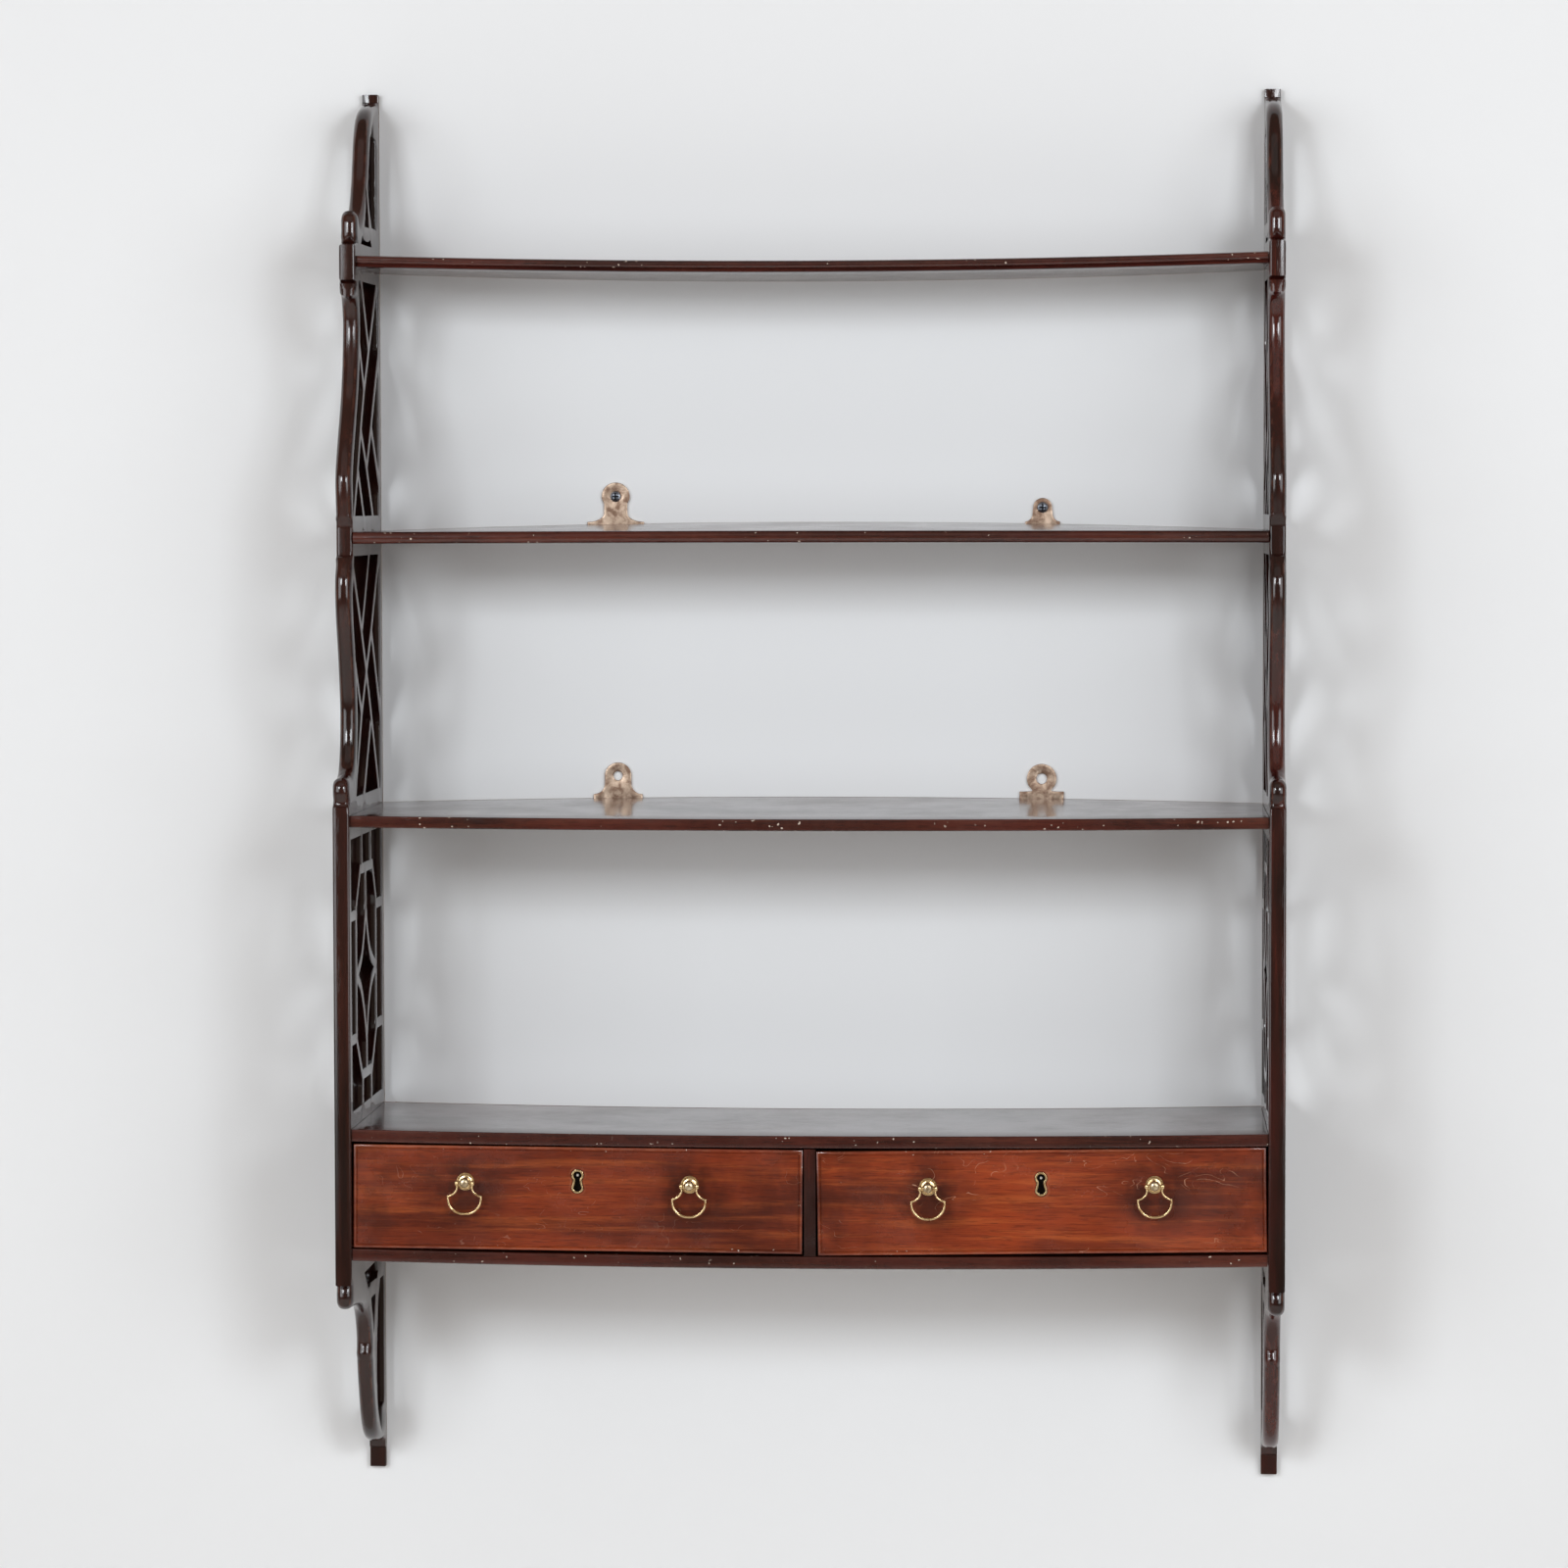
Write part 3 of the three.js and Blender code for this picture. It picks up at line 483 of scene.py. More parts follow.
# Noise per metre across and along the grain.
FIGURE, STREAK, FLECK, PORES, RIPPLE = (22, 5), (170, 7), (900, 55), (1500, 90), (40, 10)
SCRATCHED = (0.66, 0.34, 0.20)
CHIPPED = (0.72, 0.62, 0.52)


def along(axis, across_scale, along_scale):
    scale = [across_scale] * 3
    scale["XYZ".index(axis)] = along_scale
    return tuple(scale)


def darker(colour, share):
    return tuple(c * share for c in colour)


def wood_figure(n, grain, dark, middle, light):
    """The colour of the bare wood, with its streaks and open pores, which also shape the surface."""
    figure = n.noise(n.scaled(along(grain, *FIGURE)), 1, 3, 0.5, 0.4)
    streak = n.noise(n.scaled(along(grain, *STREAK)), 1, 4, 0.6, 0.3)
    fleck = n.noise(n.scaled(along(grain, *FLECK)), 1, 2, 0.6, 0.1)
    clouds = n.noise(n.scaled((5, 5, 5), (3.1, 1.7, 0.4)), 1, 2, 0.5)
    pores = n.ramp(n.noise(n.scaled(along(grain, *PORES), (0.3, 0, 0.2)), 1, 1, 0.5), 0.60, 0.70)
    colour = n.mix(n.ramp(figure, 0.28, 0.66), dark, middle)
    colour = n.mix(n.ramp(streak, 0.45, 0.72, 0.0, 0.55), colour, light)
    colour = n.mix(n.ramp(clouds, 0.42, 0.68, 0.0, 0.5), colour, dark)
    colour = n.mix(n.ramp(fleck, 0.5, 0.66, 0.0, 0.38), colour, darker(dark, 0.45))
    colour = n.mix(n.math("MULTIPLY", pores, 0.35), colour, darker(dark, 0.3))
    return colour, streak, pores


def wear_and_painted_shade(n, colour, dark, worn, dark_patches):
    """Edges rubbed pale, the walls of each piercing darkened as painted shade, and the dark patches it is
    given, such as where hands have been.
    """
    rubbed = n.ramp(n.noise(n.scaled((110, 110, 110)), 1, 4, 0.6), 0.42, 0.66, 0.08, 0.6)
    wear = n.math("MULTIPLY", n.ramp(n.attribute("edge_wear"), 0.4, 1.0), rubbed)
    colour = n.mix(wear, colour, worn)
    # Painted shade: the walls of each piercing and keyhole made nearly black.
    colour = n.mix(n.math("MULTIPLY", n.attribute("hole_wall_shade"), 0.8), colour, darker(dark, 0.35))
    for point, reach, strength in dark_patches:
        patch = n.near(point, reach * 0.2, reach)
        uneven = n.ramp(n.noise(n.scaled((38, 38, 38)), 1, 3, 0.6), 0.32, 0.62, 0.15, strength)
        colour = n.mix(n.math("MULTIPLY", patch, uneven), colour, darker(dark, 0.45))
    return colour


def scratch_lines(n):
    """Thin curled lines, broken up and gathered in a few places."""
    contour = n.noise(n.scaled((30, 30, 55), (1.0, 0, 0)), 1, 1.5, 0.4, 1.6)
    lines = n.math("MULTIPLY", n.ramp(contour, 0.494, 0.5), n.ramp(contour, 0.5, 0.506, 1, 0))
    broken = n.ramp(n.noise(n.scaled((75, 75, 75)), 1, 2), 0.46, 0.6)
    where = n.ramp(n.noise(n.scaled((13, 13, 22)), 1, 2), 0.5, 0.58)
    return n.math("MULTIPLY", n.math("MULTIPLY", lines, broken), where)


def chipped_spots(n):
    """Small chips near the edges."""
    spots = n.ramp(n.noise(n.scaled((420, 420, 420), (0, 2.0, 0)), 1, 0.0, 0.3), 0.79, 0.80)
    spots = n.math("MULTIPLY", spots, n.ramp(n.attribute("edge_wear"), 0.02, 0.1))
    return n.math("MULTIPLY", spots, n.ramp(n.noise(n.scaled((19, 19, 19)), 1, 1), 0.5, 0.56))


def mahogany(name, grain, colours, polish=0.2, dark_patches=(), scratches=0.0, chips=0.0):
    """French-polished mahogany. The colours are dark, middle, light and worn; polish is a roughness."""
    n = Nodes(name)
    dark, middle, light, worn = colours
    colour, streak, pores = wood_figure(n, grain, dark, middle, light)
    colour = wear_and_painted_shade(n, colour, dark, worn, dark_patches)
    haze = n.noise(n.scaled((14, 14, 14), (0.2, 5.0, 2.0)), 1, 5, 0.7)
    gloss = n.ramp(haze, 0.3, 0.75, polish * 0.75, polish * 1.7)
    if scratches:
        lines = scratch_lines(n)
        colour = n.mix(n.math("MULTIPLY", lines, scratches), colour, SCRATCHED)
        gloss = n.math("ADD", gloss, n.math("MULTIPLY", lines, 0.25))
    if chips:
        colour = n.mix(n.math("MULTIPLY", chipped_spots(n), chips), colour, CHIPPED)
    n.link(colour, n.shader.inputs["Base Color"])
    n.link(gloss, n.shader.inputs["Roughness"])
    n.set(Coat_Weight=0.3, Coat_Roughness=0.1, Coat_IOR=1.5)
    ripple = n.noise(n.scaled(along(grain, *RIPPLE)), 1, 2, 0.5)
    height = n.math("ADD", n.math("MULTIPLY", ripple, 0.6), n.math("MULTIPLY", pores, -0.5))
    n.bump(n.math("ADD", height, n.math("MULTIPLY", streak, 0.25)), 0.1, 0.5 * MM)
    return n.material


def raw_wood(name, grain, dark, light):
    """Unpolished drawer lining: dry, open-grained, darker where hands and dust have been."""
    n = Nodes(name)
    figure = n.noise(n.scaled(along(grain, 60, 2.5)), 1, 5, 0.6, 0.8)
    fibre = n.noise(n.scaled(along(grain, 900, 25)), 1, 3, 0.7)
    colour = n.mix(n.ramp(figure, 0.3, 0.7), dark, light)
    colour = n.mix(n.math("MULTIPLY", n.ramp(fibre, 0.5, 0.7), 0.4), colour, darker(dark, 0.5))
    dust = n.ramp(n.noise(n.scaled((12, 12, 12)), 1, 4), 0.45, 0.7, 0, 0.4)
    colour = n.mix(dust, colour, darker(dark, 0.45))
    n.link(colour, n.shader.inputs["Base Color"])
    n.link(n.ramp(fibre, 0.3, 0.7, 0.55, 0.8), n.shader.inputs["Roughness"])
    n.bump(fibre, 0.3, 0.4 * MM)
    return n.material


def metal(name, bright, tarnish, amount, smooth_to=0.22, rough_to=0.5, scale=260):
    """Old brass or iron: bright where rubbed, tarnished in patches, with fine pits."""
    n = Nodes(name)
    patches = n.noise(n.scaled((scale, scale, scale)), 1, 5, 0.65, 0.4)
    cover = n.ramp(patches, 0.62 - amount * 0.45, 0.78 - amount * 0.3)
    pits = n.noise(n.scaled((1400, 1400, 1400)), 1, 2, 0.5)
    colour = n.mix(cover, bright, tarnish)
    colour = n.mix(n.ramp(pits, 0.62, 0.74, 0, 0.6), colour, darker(tarnish, 0.5))
    n.link(colour, n.shader.inputs["Base Color"])
    n.link(n.ramp(patches, 0.35, 0.75, smooth_to, rough_to), n.shader.inputs["Roughness"])
    n.set(Metallic=1.0)
    n.bump(pits, 0.15, 0.2 * MM)
    return n.material


def plain_stage(name, colour, roughness):
    n = Nodes(name)
    drift = n.noise(n.scaled((1.4, 1.4, 1.4)), 1, 2, 0.5)
    n.link(n.mix(n.ramp(drift, 0.3, 0.7), colour, darker(colour, 0.985)), n.shader.inputs["Base Color"])
    n.set(Roughness=roughness)
    return n


WORN = (0.130, 0.048, 0.030)
SIDE_DARK = (0.008, 0.0026, 0.0022)
LEFT_SIDE_COLOURS = (SIDE_DARK, (0.026, 0.0062, 0.0045), (0.052, 0.013, 0.008), WORN)
# Painted light: the right side's colours are the left side's made lighter and redder, for the right side
# catching more light.
RIGHT_SIDE_LIT_COLOURS = (SIDE_DARK, (0.050, 0.0086, 0.0062), (0.095, 0.018, 0.011), WORN)
BOARD_DARK = (0.016, 0.0036, 0.0030)
DIVIDER_COLOURS = (BOARD_DARK, (0.085, 0.0150, 0.0100), (0.120, 0.028, 0.016), WORN)
BOARD_COLOURS = (BOARD_DARK, (0.072, 0.0135, 0.0090), (0.105, 0.026, 0.015), WORN)
FRONT_COLOURS = ((0.075, 0.011, 0.005), (0.285, 0.042, 0.011), (0.480, 0.108, 0.026), (0.300, 0.100, 0.050))

SIDE_WOOD = {
    "side_left": mahogany("polished_side_left", "Z", LEFT_SIDE_COLOURS, 0.11),
    "side_right": mahogany("polished_side_right", "Z", RIGHT_SIDE_LIT_COLOURS, 0.11),
}
DIVIDER_WOOD = mahogany("polished_divider", "Z", DIVIDER_COLOURS, 0.2)
BOARD_WOOD = mahogany("polished_board", "X", BOARD_COLOURS, 0.15, chips=0.7)
LINING = raw_wood("lining_across", "X", (0.22, 0.13, 0.07), (0.40, 0.27, 0.15))
LINING_SIDE = raw_wood("lining_deep", "Y", (0.22, 0.13, 0.07), (0.38, 0.26, 0.15))
BACKBOARD = raw_wood("backboard", "X", (0.10, 0.06, 0.035), (0.20, 0.12, 0.07))
BRASS = metal("brass_rubbed", (0.82, 0.62, 0.34), (0.42, 0.24, 0.10), 0.3, 0.14, 0.36)
BRASS_DULL = metal("brass_dull", (0.74, 0.62, 0.42), (0.34, 0.25, 0.15), 0.45, 0.2, 0.42)
BRASS_PLATE = metal("brass_plate", (0.56, 0.43, 0.33), (0.24, 0.15, 0.105), 0.5, 0.40, 0.60, 120)

IRON = metal("iron_dark", (0.20, 0.19, 0.18), (0.06, 0.05, 0.045), 0.6, 0.3, 0.6)


def cross_head_steel(name):
    """Greyed steel, with painted shade filling the cross in the head."""
    low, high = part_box(f"wall_screw_{name}")
    centre = (low + high) / 2
    n = Nodes(f"screw_steel_{name}")
    offset = n.tree.nodes.new("ShaderNodeVectorMath")
    offset.operation = "SUBTRACT"
    offset.inputs[1].default_value = (centre.x, 0, centre.z)
    n.link(n.coords, offset.inputs[0])
    axes = n.tree.nodes.new("ShaderNodeSeparateXYZ")
    n.link(offset.outputs["Vector"], axes.inputs["Vector"])
    across, up = (n.math("ABSOLUTE", axes.outputs[axis], 0) for axis in ("X", "Z"))
    # Painted shade: the slots of the cross in the head made nearly black.
    slot_shade_arms = []
    for narrow, wide in ((across, up), (up, across)):
        arm = n.ramp(narrow, 0.5 * MM, 0.8 * MM, 1, 0)
        slot_shade_arms.append(n.math("MULTIPLY", arm, n.ramp(wide, 2.5 * MM, 2.9 * MM, 1, 0)))
    cross = n.math("MAXIMUM", *slot_shade_arms)
    patches = n.noise(n.scaled((500, 500, 500)), 1, 3)
    steel = n.mix(n.ramp(patches, 0.35, 0.7), (0.36, 0.40, 0.46), (0.16, 0.17, 0.20))
    n.link(n.mix(cross, steel, (0.015, 0.015, 0.018)), n.shader.inputs["Base Color"])
    n.link(n.ramp(patches, 0.3, 0.7, 0.28, 0.45), n.shader.inputs["Roughness"])
    n.set(Metallic=1.0)
    return n.material


# Where the painted shade behind the keyhole lies and how far it reaches.
KEYHOLE_SHADE_OFFSET = Vector((0, 0, -4 * MM))
KEYHOLE_SHADE_REACH = (10 * MM, 3 * MM)
PIN_OFFSET = Vector((0, -3.5 * MM, 0))
PIN_REACH = (1.6 * MM, 0.8 * MM)


def lock_metal(side):
    """Filed brass, painted near black behind the keyhole as painted shade inside it, with the bright end of
    its pin.
    """
    n = Nodes(f"lock_metal_{side}")
    keyhole = DRAWER_FRAME[side] @ Vector((0, FACE_Y + FRONT_THICKNESS / 2, KEYHOLE_RISE))
    # Painted shade: the face of the lock behind the keyhole made nearly black.
    keyhole_shade = n.near(tuple(keyhole + KEYHOLE_SHADE_OFFSET), *KEYHOLE_SHADE_REACH)
    pin_end = n.near(tuple(keyhole + PIN_OFFSET), *PIN_REACH)
    patches = n.noise(n.scaled((220, 220, 220)), 1, 4, 0.6)
    brass = n.mix(n.ramp(patches, 0.4, 0.7), (0.56, 0.43, 0.24), (0.30, 0.21, 0.11))
    colour = n.mix(keyhole_shade, brass, (0.012, 0.010, 0.009))
    n.link(n.mix(pin_end, colour, (0.85, 0.83, 0.80)), n.shader.inputs["Base Color"])
    n.link(n.ramp(patches, 0.35, 0.7, 0.25, 0.5), n.shader.inputs["Roughness"])
    n.set(Metallic=1.0)
    return n.material


# Dark patches on a front, as reach and strength: where hands have been round the handles, and larger and
# fainter darkening towards its ends.
HANDLE_SMUDGE = (38 * MM, 0.85)
HANDLE_SMUDGE_DROP = 6 * MM
END_DARKENING = (75 * MM, 0.6)
END_X = 172 * MM
END_DROP = 14 * MM
SCRATCHES = {"left": 0.15, "right": 0.55}


def front_wood(side):
    """Redder, lighter wood than the rest, darkest round the handles and at the ends."""
    handles = [tuple(DRAWER_FRAME[side] @ Vector((x, FACE_Y, 0))) for x in (-HANDLE_X, HANDLE_X)]
    dark_patches = [((x, y, z - HANDLE_SMUDGE_DROP), *HANDLE_SMUDGE) for x, y, z in handles]
    ends = [tuple(DRAWER_FRAME[side] @ Vector((x, FACE_Y, -END_DROP))) for x in (-END_X, END_X)]
    dark_patches += [(point, *END_DARKENING) for point in ends]
    return mahogany(f"polished_front_{side}", "X", FRONT_COLOURS, 0.2, dark_patches, SCRATCHES[side], chips=0.8)


# ------------------------------------------------------------------ fretted sides

ROUND_STRIP = 5.4 * MM
ROUND_COLLAR = 2.2 * MM
ROUND_STILE = 1.6 * MM
ROUND_BACK = 0.6 * MM
ROUND_FRET = 0.7 * MM


# Runs of the front edge by height above the foot, in millimetres, and the depth of the plain back edge.
COLLARS = ((908, 940), (704, 734))
STILE_RUN = (166.5, 524)
BACK_EDGE = 9 * MM
SIDE_WEAR = 3.5 * MM


def edge_radius(near):
    """Radius of the worked edge, by place: bold on the curved strips and knobs, slight on the stile."""
    depth, height = -near[:, 0], (near[:, 1] - FOOT_Z) / MM
    radius = np.full(len(near), ROUND_STRIP)
    for low, high in COLLARS:
        radius[(height > low) & (height < high)] = ROUND_COLLAR
    radius[(height > STILE_RUN[0]) & (height < STILE_RUN[1])] = ROUND_STILE
    radius[depth < BACK_EDGE] = ROUND_BACK
    return radius


def side_height(s_rim, near_rim, s_hole):
    taken = np.maximum(quarter_round(s_rim, edge_radius(near_rim)), quarter_round(s_hole, ROUND_FRET))
    return SIDE_THICKNESS / 2 - taken


def fretted_side(node, direction):
    outer = direction * (INNER_X + SIDE_THICKNESS)
    loops = [rounded_runs(loop) for loop in face_loops(node, 0, outer)]
    loops = [split_long(loops[0], 6 * MM)] + [split_long(hole, 8 * MM) for hole in loops[1:]]
    middle = direction * (INNER_X + SIDE_THICKNESS / 2)

    def place(y, z, w):
        return (middle + w, y, z)

    rim_steps = [0.25 * MM, 0.8 * MM, 1.6 * MM, 2.6 * MM, 3.8 * MM, ROUND_STRIP]
    hole_steps = [0.25 * MM, ROUND_FRET]
    mesh = relief(f"fret_{node}", loops, rim_steps, hole_steps, side_height, place, SIDE_WEAR, angle=50)
    return new_object(f"fret_{node}", mesh, "frame", SIDE_WOOD[node], [node])


# ------------------------------------------------------------------ shelves and case boards

BOARD_STATIONS = 48
EASED = 0.9 * MM
NOSE_WEAR = 0.55
NOSE_DEPTH = 1.2 * MM
BOLT_PLAY = 1.5 * MM
CUTTER_REACH = 10 * MM


def solid_tree(node):
    data = NODES[node].data
    return BVHTree.FromPolygons([v.co for v in data.vertices], [p.vertices for p in data.polygons])


def board_shape(node):
    """A board's depth, thickness and top height, and how far its middle rises, from its solid."""
    low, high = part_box(node)
    tree = solid_tree(node)

    def top(x, y):
        return tree.ray_cast(Vector((x, y, high.z + 0.01)), Vector((0, 0, -1)))[0].z

    def bottom(x, y):
        return tree.ray_cast(Vector((x, y, low.z - 0.01)), Vector((0, 0, 1)))[0].z

    depth = -low.y
    end, front, back = INNER_X - 1.5 * MM, -depth * 0.9, -depth * 0.1
    level = top(end, back)
    sag = {place: top(0.011, y) - top(end, y) for place, y in (("front", front), ("back", back))}
    slope = (sag["front"] - sag["back"]) / (back - front)
    return {
        "depth": depth,
        "thickness": level - bottom(end, back),
        "level": level,
        "back": sag["back"] - slope * depth * 0.1,
        "front": sag["front"] + slope * depth * 0.1,
    }


def nose_profile(style, depth, thickness):
    """Front edge of a board as (depth, height below the top) points, from the top round to the underside."""
    half = thickness / 2
    points = []
    if style == "round":
        for k in range(13):
            angle = math.pi / 2 - math.pi * k / 12
            points.append((depth - half * 0.9 + half * 0.9 * math.cos(angle), -half + half * math.sin(angle)))
    elif style == "bead":
        bead = thickness * 0.36
        for k in range(11):
            angle = math.pi / 2 - math.pi * k / 10
            points.append((depth - bead + bead * math.cos(angle), -bead + bead * math.sin(angle)))
        points += [(depth - bead * 0.9, -2 * bead - 0.3 * MM), (depth - bead * 0.55, -thickness + 0.6 * MM),
                   (depth - bead * 0.9, -thickness)]
    else:
        for k in range(5):
            angle = math.pi / 2 * (1 - k / 4)
            points.append((depth - EASED + EASED * math.cos(angle), -EASED + EASED * math.sin(angle)))
        for k in range(5):
            angle = -math.pi / 2 * k / 4
            height = EASED + EASED * math.sin(angle) - thickness
            points.append((depth - EASED + EASED * math.cos(angle), height))
    return points


def bolt_mortises(node):
    """Corners of the mortises in the underside of the case top that take the raised bolts, from its solid."""
    tree = solid_tree(node)
    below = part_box(node)[0].z - CUTTER_REACH
    play = Vector((BOLT_PLAY, BOLT_PLAY, 0))
    corners = []
    for side in ("left", "right"):
        low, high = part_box(f"drawer_{side}_lock_bolt")
        middle = (low + high) / 2
        roof = tree.ray_cast(Vector((middle.x, middle.y, below)), Vector((0, 0, 1)))[0].z
        corners.append((Vector((low.x, low.y, below)) - play, Vector((high.x, high.y, roof)) + play))
    return corners


def board(node, style, mortises=()):
    shape = board_shape(node)
    depth, thickness = shape["depth"], shape["thickness"]
    back = 0.2 * MM
    nose = nose_profile(style, depth, thickness)
    top_run = [(back + (nose[0][0] - back) * k / 6, 0) for k in range(6)]
    under_run = [(nose[-1][0] + (back - nose[-1][0]) * k / 6, -thickness) for k in range(1, 7)]
    section = top_run + nose + under_run
    reach = INNER_X - 0.3 * MM
    vertices, worn = [], []
    for s in range(BOARD_STATIONS + 1):
        x = -reach + 2 * reach * s / BOARD_STATIONS
        bow = 1 - (x / INNER_X) ** 2
        for d, h in section:
            move = shape["back"] + (shape["front"] - shape["back"]) * d / depth
            vertices.append((x, -d, shape["level"] + h + move * bow))
            worn.append(NOSE_WEAR if depth - d < NOSE_DEPTH else 0.0)
    count = len(section)
    faces = []
    for s in range(BOARD_STATIONS):
        for k in range(count):
            m = (k + 1) % count
            faces.append((s * count + k, s * count + m, (s + 1) * count + m, (s + 1) * count + k))
    faces.append(tuple(range(count)))
    faces.append(tuple(BOARD_STATIONS * count + k for k in range(count))[::-1])
    mesh = mesh_from(f"board_{node}", vertices, faces, worn, 40)
    if mortises:
        mesh = cut_boxes(mesh, mortises, 40)
    return new_object(f"board_{node}", mesh, "frame", BOARD_WOOD, [node])


# ------------------------------------------------------------------ drawers

BEAD_WIDTH = 2.6 * MM
BEAD_HEIGHT = 0.75 * MM
QUIRK = 0.7 * MM
QUIRK_DEPTH = 0.8 * MM


def drawer_front(side):
    """The front, with a bead scratched round its edge, cut through for the keyhole and the handle posts."""
    node = f"drawer_{side}_front"
    matrix = DRAWER_FRAME[side]
    loops = face_loops(node, 1, FACE_Y, matrix.inverted())
    loops = [split_long(loops[0], 20 * MM)] + loops[1:]
    thickness = FRONT_THICKNESS
    middle = FACE_Y + thickness / 2

    def front(s_rim, near_rim, s_hole):
        bead = np.clip(s_rim, 0, BEAD_WIDTH)
        across = (bead - BEAD_WIDTH * 0.55) / (BEAD_WIDTH * 0.6)
        drop = BEAD_HEIGHT * (1 - np.sqrt(np.maximum(1 - across ** 2, 0)))
        groove = (s_rim > BEAD_WIDTH * 0.98) & (s_rim < BEAD_WIDTH + QUIRK * 0.98)
        drop = np.where(s_rim > BEAD_WIDTH * 0.98, 0, drop)
        return thickness / 2 - np.where(groove, QUIRK_DEPTH, drop)

    def back(s_rim, near_rim, s_hole):
        return np.full(len(s_rim), thickness / 2)

    def place(x, z, w):
        return tuple(matrix @ Vector((x, middle - w, z)))

    steps = [0.3 * MM, 0.8 * MM, 1.4 * MM, 2.0 * MM, BEAD_WIDTH, BEAD_WIDTH + 0.1 * MM,
             BEAD_WIDTH + QUIRK * 0.9, BEAD_WIDTH + QUIRK, BEAD_WIDTH + QUIRK + 4 * MM]
    hole_steps = [0.4 * MM, 1.2 * MM, 3.2 * MM]
    mesh = relief(f"front_{side}", loops, steps, hole_steps, front, place, 3 * MM, back, 40)
    return new_object(f"front_{side}", mesh, f"drawer_{side}", front_wood(side), [node])


RIM_PROUD = 0.3 * MM
RIM_THICKNESS = 3 * MM


def escutcheon(side):
    node = f"drawer_{side}_escutcheon"
    matrix = DRAWER_FRAME[side]
    rim_y = FACE_Y - RIM_PROUD
    loops = [rounded_runs(loop, 45) for loop in face_loops(node, 1, rim_y, matrix.inverted())]
    middle = rim_y + RIM_THICKNESS / 2

    def height(s_rim, near_rim, s_hole):
        return RIM_THICKNESS / 2 - quarter_round(np.minimum(s_rim, s_hole), 0.35 * MM)

    def place(x, z, w):
        return tuple(matrix @ Vector((x, middle - w, z)))

    steps = [0.12 * MM, 0.35 * MM]
    mesh = relief(f"keyhole_rim_{side}", loops, steps, steps, height, place, 0.5 * MM, angle=60)
    return new_object(f"keyhole_rim_{side}", mesh, f"drawer_{side}", BRASS, [node])


# Turned sections as (radius, distance out), and the drop's wire as (across, up), in millimetres.
ROSETTE = [(2.0, 0.3), (6.6, 0.3), (6.6, 0.8), (6.35, 1.1), (5.95, 1.15), (5.7, 1.0), (5.4, 1.2), (4.8, 1.7),
           (4.2, 1.95), (3.2, 2.2), (2.0, 2.3), (2.0, 0.3)]
POST = [(0, -13.6), (1.7, -13.6), (1.7, 2.6), (3.0, 2.65), (3.4, 2.9), (3.65, 3.5), (3.35, 4.1), (3.35, 4.7),
        (3.7, 5.2), (3.7, 8.3), (3.6, 8.9), (3.2, 9.6), (2.5, 10.15), (1.4, 10.55), (0.7, 10.65), (0, 10.68)]
NECK = [(1.7, 0), (4.4, 0), (6.0, -0.5), (5.8, -2.8), (5.6, -4.8), (6.8, -7.2), (9.2, -9.2), (11.9, -10.4)]
LOOP = [(11.9, -10.4), (12.2, -13), (11.0, -17.2), (7.7, -21), (3.8, -22.9), (0, -23.3)]
EAR = ((5.9, -0.7), (1.65, 1.6, 2.2))
TICK = ((12.3, -10.35), (0.9, 0.8, 0.7))


def wire_radius(height):
    """The drop is thin at the ears and fuller towards the bottom of its loop."""
    return (0.70 + 0.20 * min(1.0, -height / (20 * MM))) * MM


def ellipsoid(centre, radii, rings=10, segments=18):
    """A round lump of the drop, centred at (x, z) millimetres with (x, y, z) radii."""
    profile = [(math.sin(t), -math.cos(t)) for t in np.linspace(0, math.pi, rings + 1)]
    vertices, faces = lathe(profile, segments)
    scale = Matrix.Diagonal((*radii, 1))
    return moved(vertices, Matrix.Translation((centre[0] * MM, 0, centre[1] * MM)) @ scale), faces


def drop_shape():
    parts = []
    for direction in (-1, 1):
        neck = catmull([(direction * x * MM, 0, z * MM) for x, z in NECK], 6)
        parts.append(swept(neck, [wire_radius(p.z) for p in neck]))
        for centre, radii in (EAR, TICK):
            parts.append(ellipsoid((direction * centre[0], centre[1]), radii))
    half = [(x * MM, 0, z * MM) for x, z in LOOP]
    loop = catmull(half + [(-x, y, z) for x, y, z in reversed(half[:-1])], 6)
    parts.append(swept(loop, [wire_radius(p.z) for p in loop]))
    return joined(parts)


def handle(side, end):
    label = f"{side}_{end}"
    body = f"drawer_{side}"
    x = HANDLE_X if end == "right" else -HANDLE_X
    seat = DRAWER_FRAME[side] @ Matrix.Translation((x, FACE_Y, 0))
    rose_vertices, rose_faces = lathe(ROSETTE, 48)
    rose = mesh_from(f"rose_{label}", moved(rose_vertices, seat), rose_faces, angle=30)
    new_object(f"rose_{label}", rose, body, BRASS, [f"handle_rosette_{label}"])
    post_vertices, post_faces = lathe(POST, 36)
    post = mesh_from(f"post_{label}", moved(post_vertices, seat), post_faces, angle=40)
    new_object(f"post_{label}", post, body, BRASS_DULL, [f"handle_post_{label}"])
    pivot = DRAWER_FRAME[side] @ Matrix.Translation((x, PIVOT_Y, 0))
    vertices, faces = drop_shape()
    drop = mesh_from(f"drop_{label}", moved(vertices, pivot), faces, angle=60)
    new_object(f"drop_{label}", drop, f"bail_{label}", BRASS, [f"handle_bail_{label}"])


# ------------------------------------------------------------------ hanging plates and wall screws

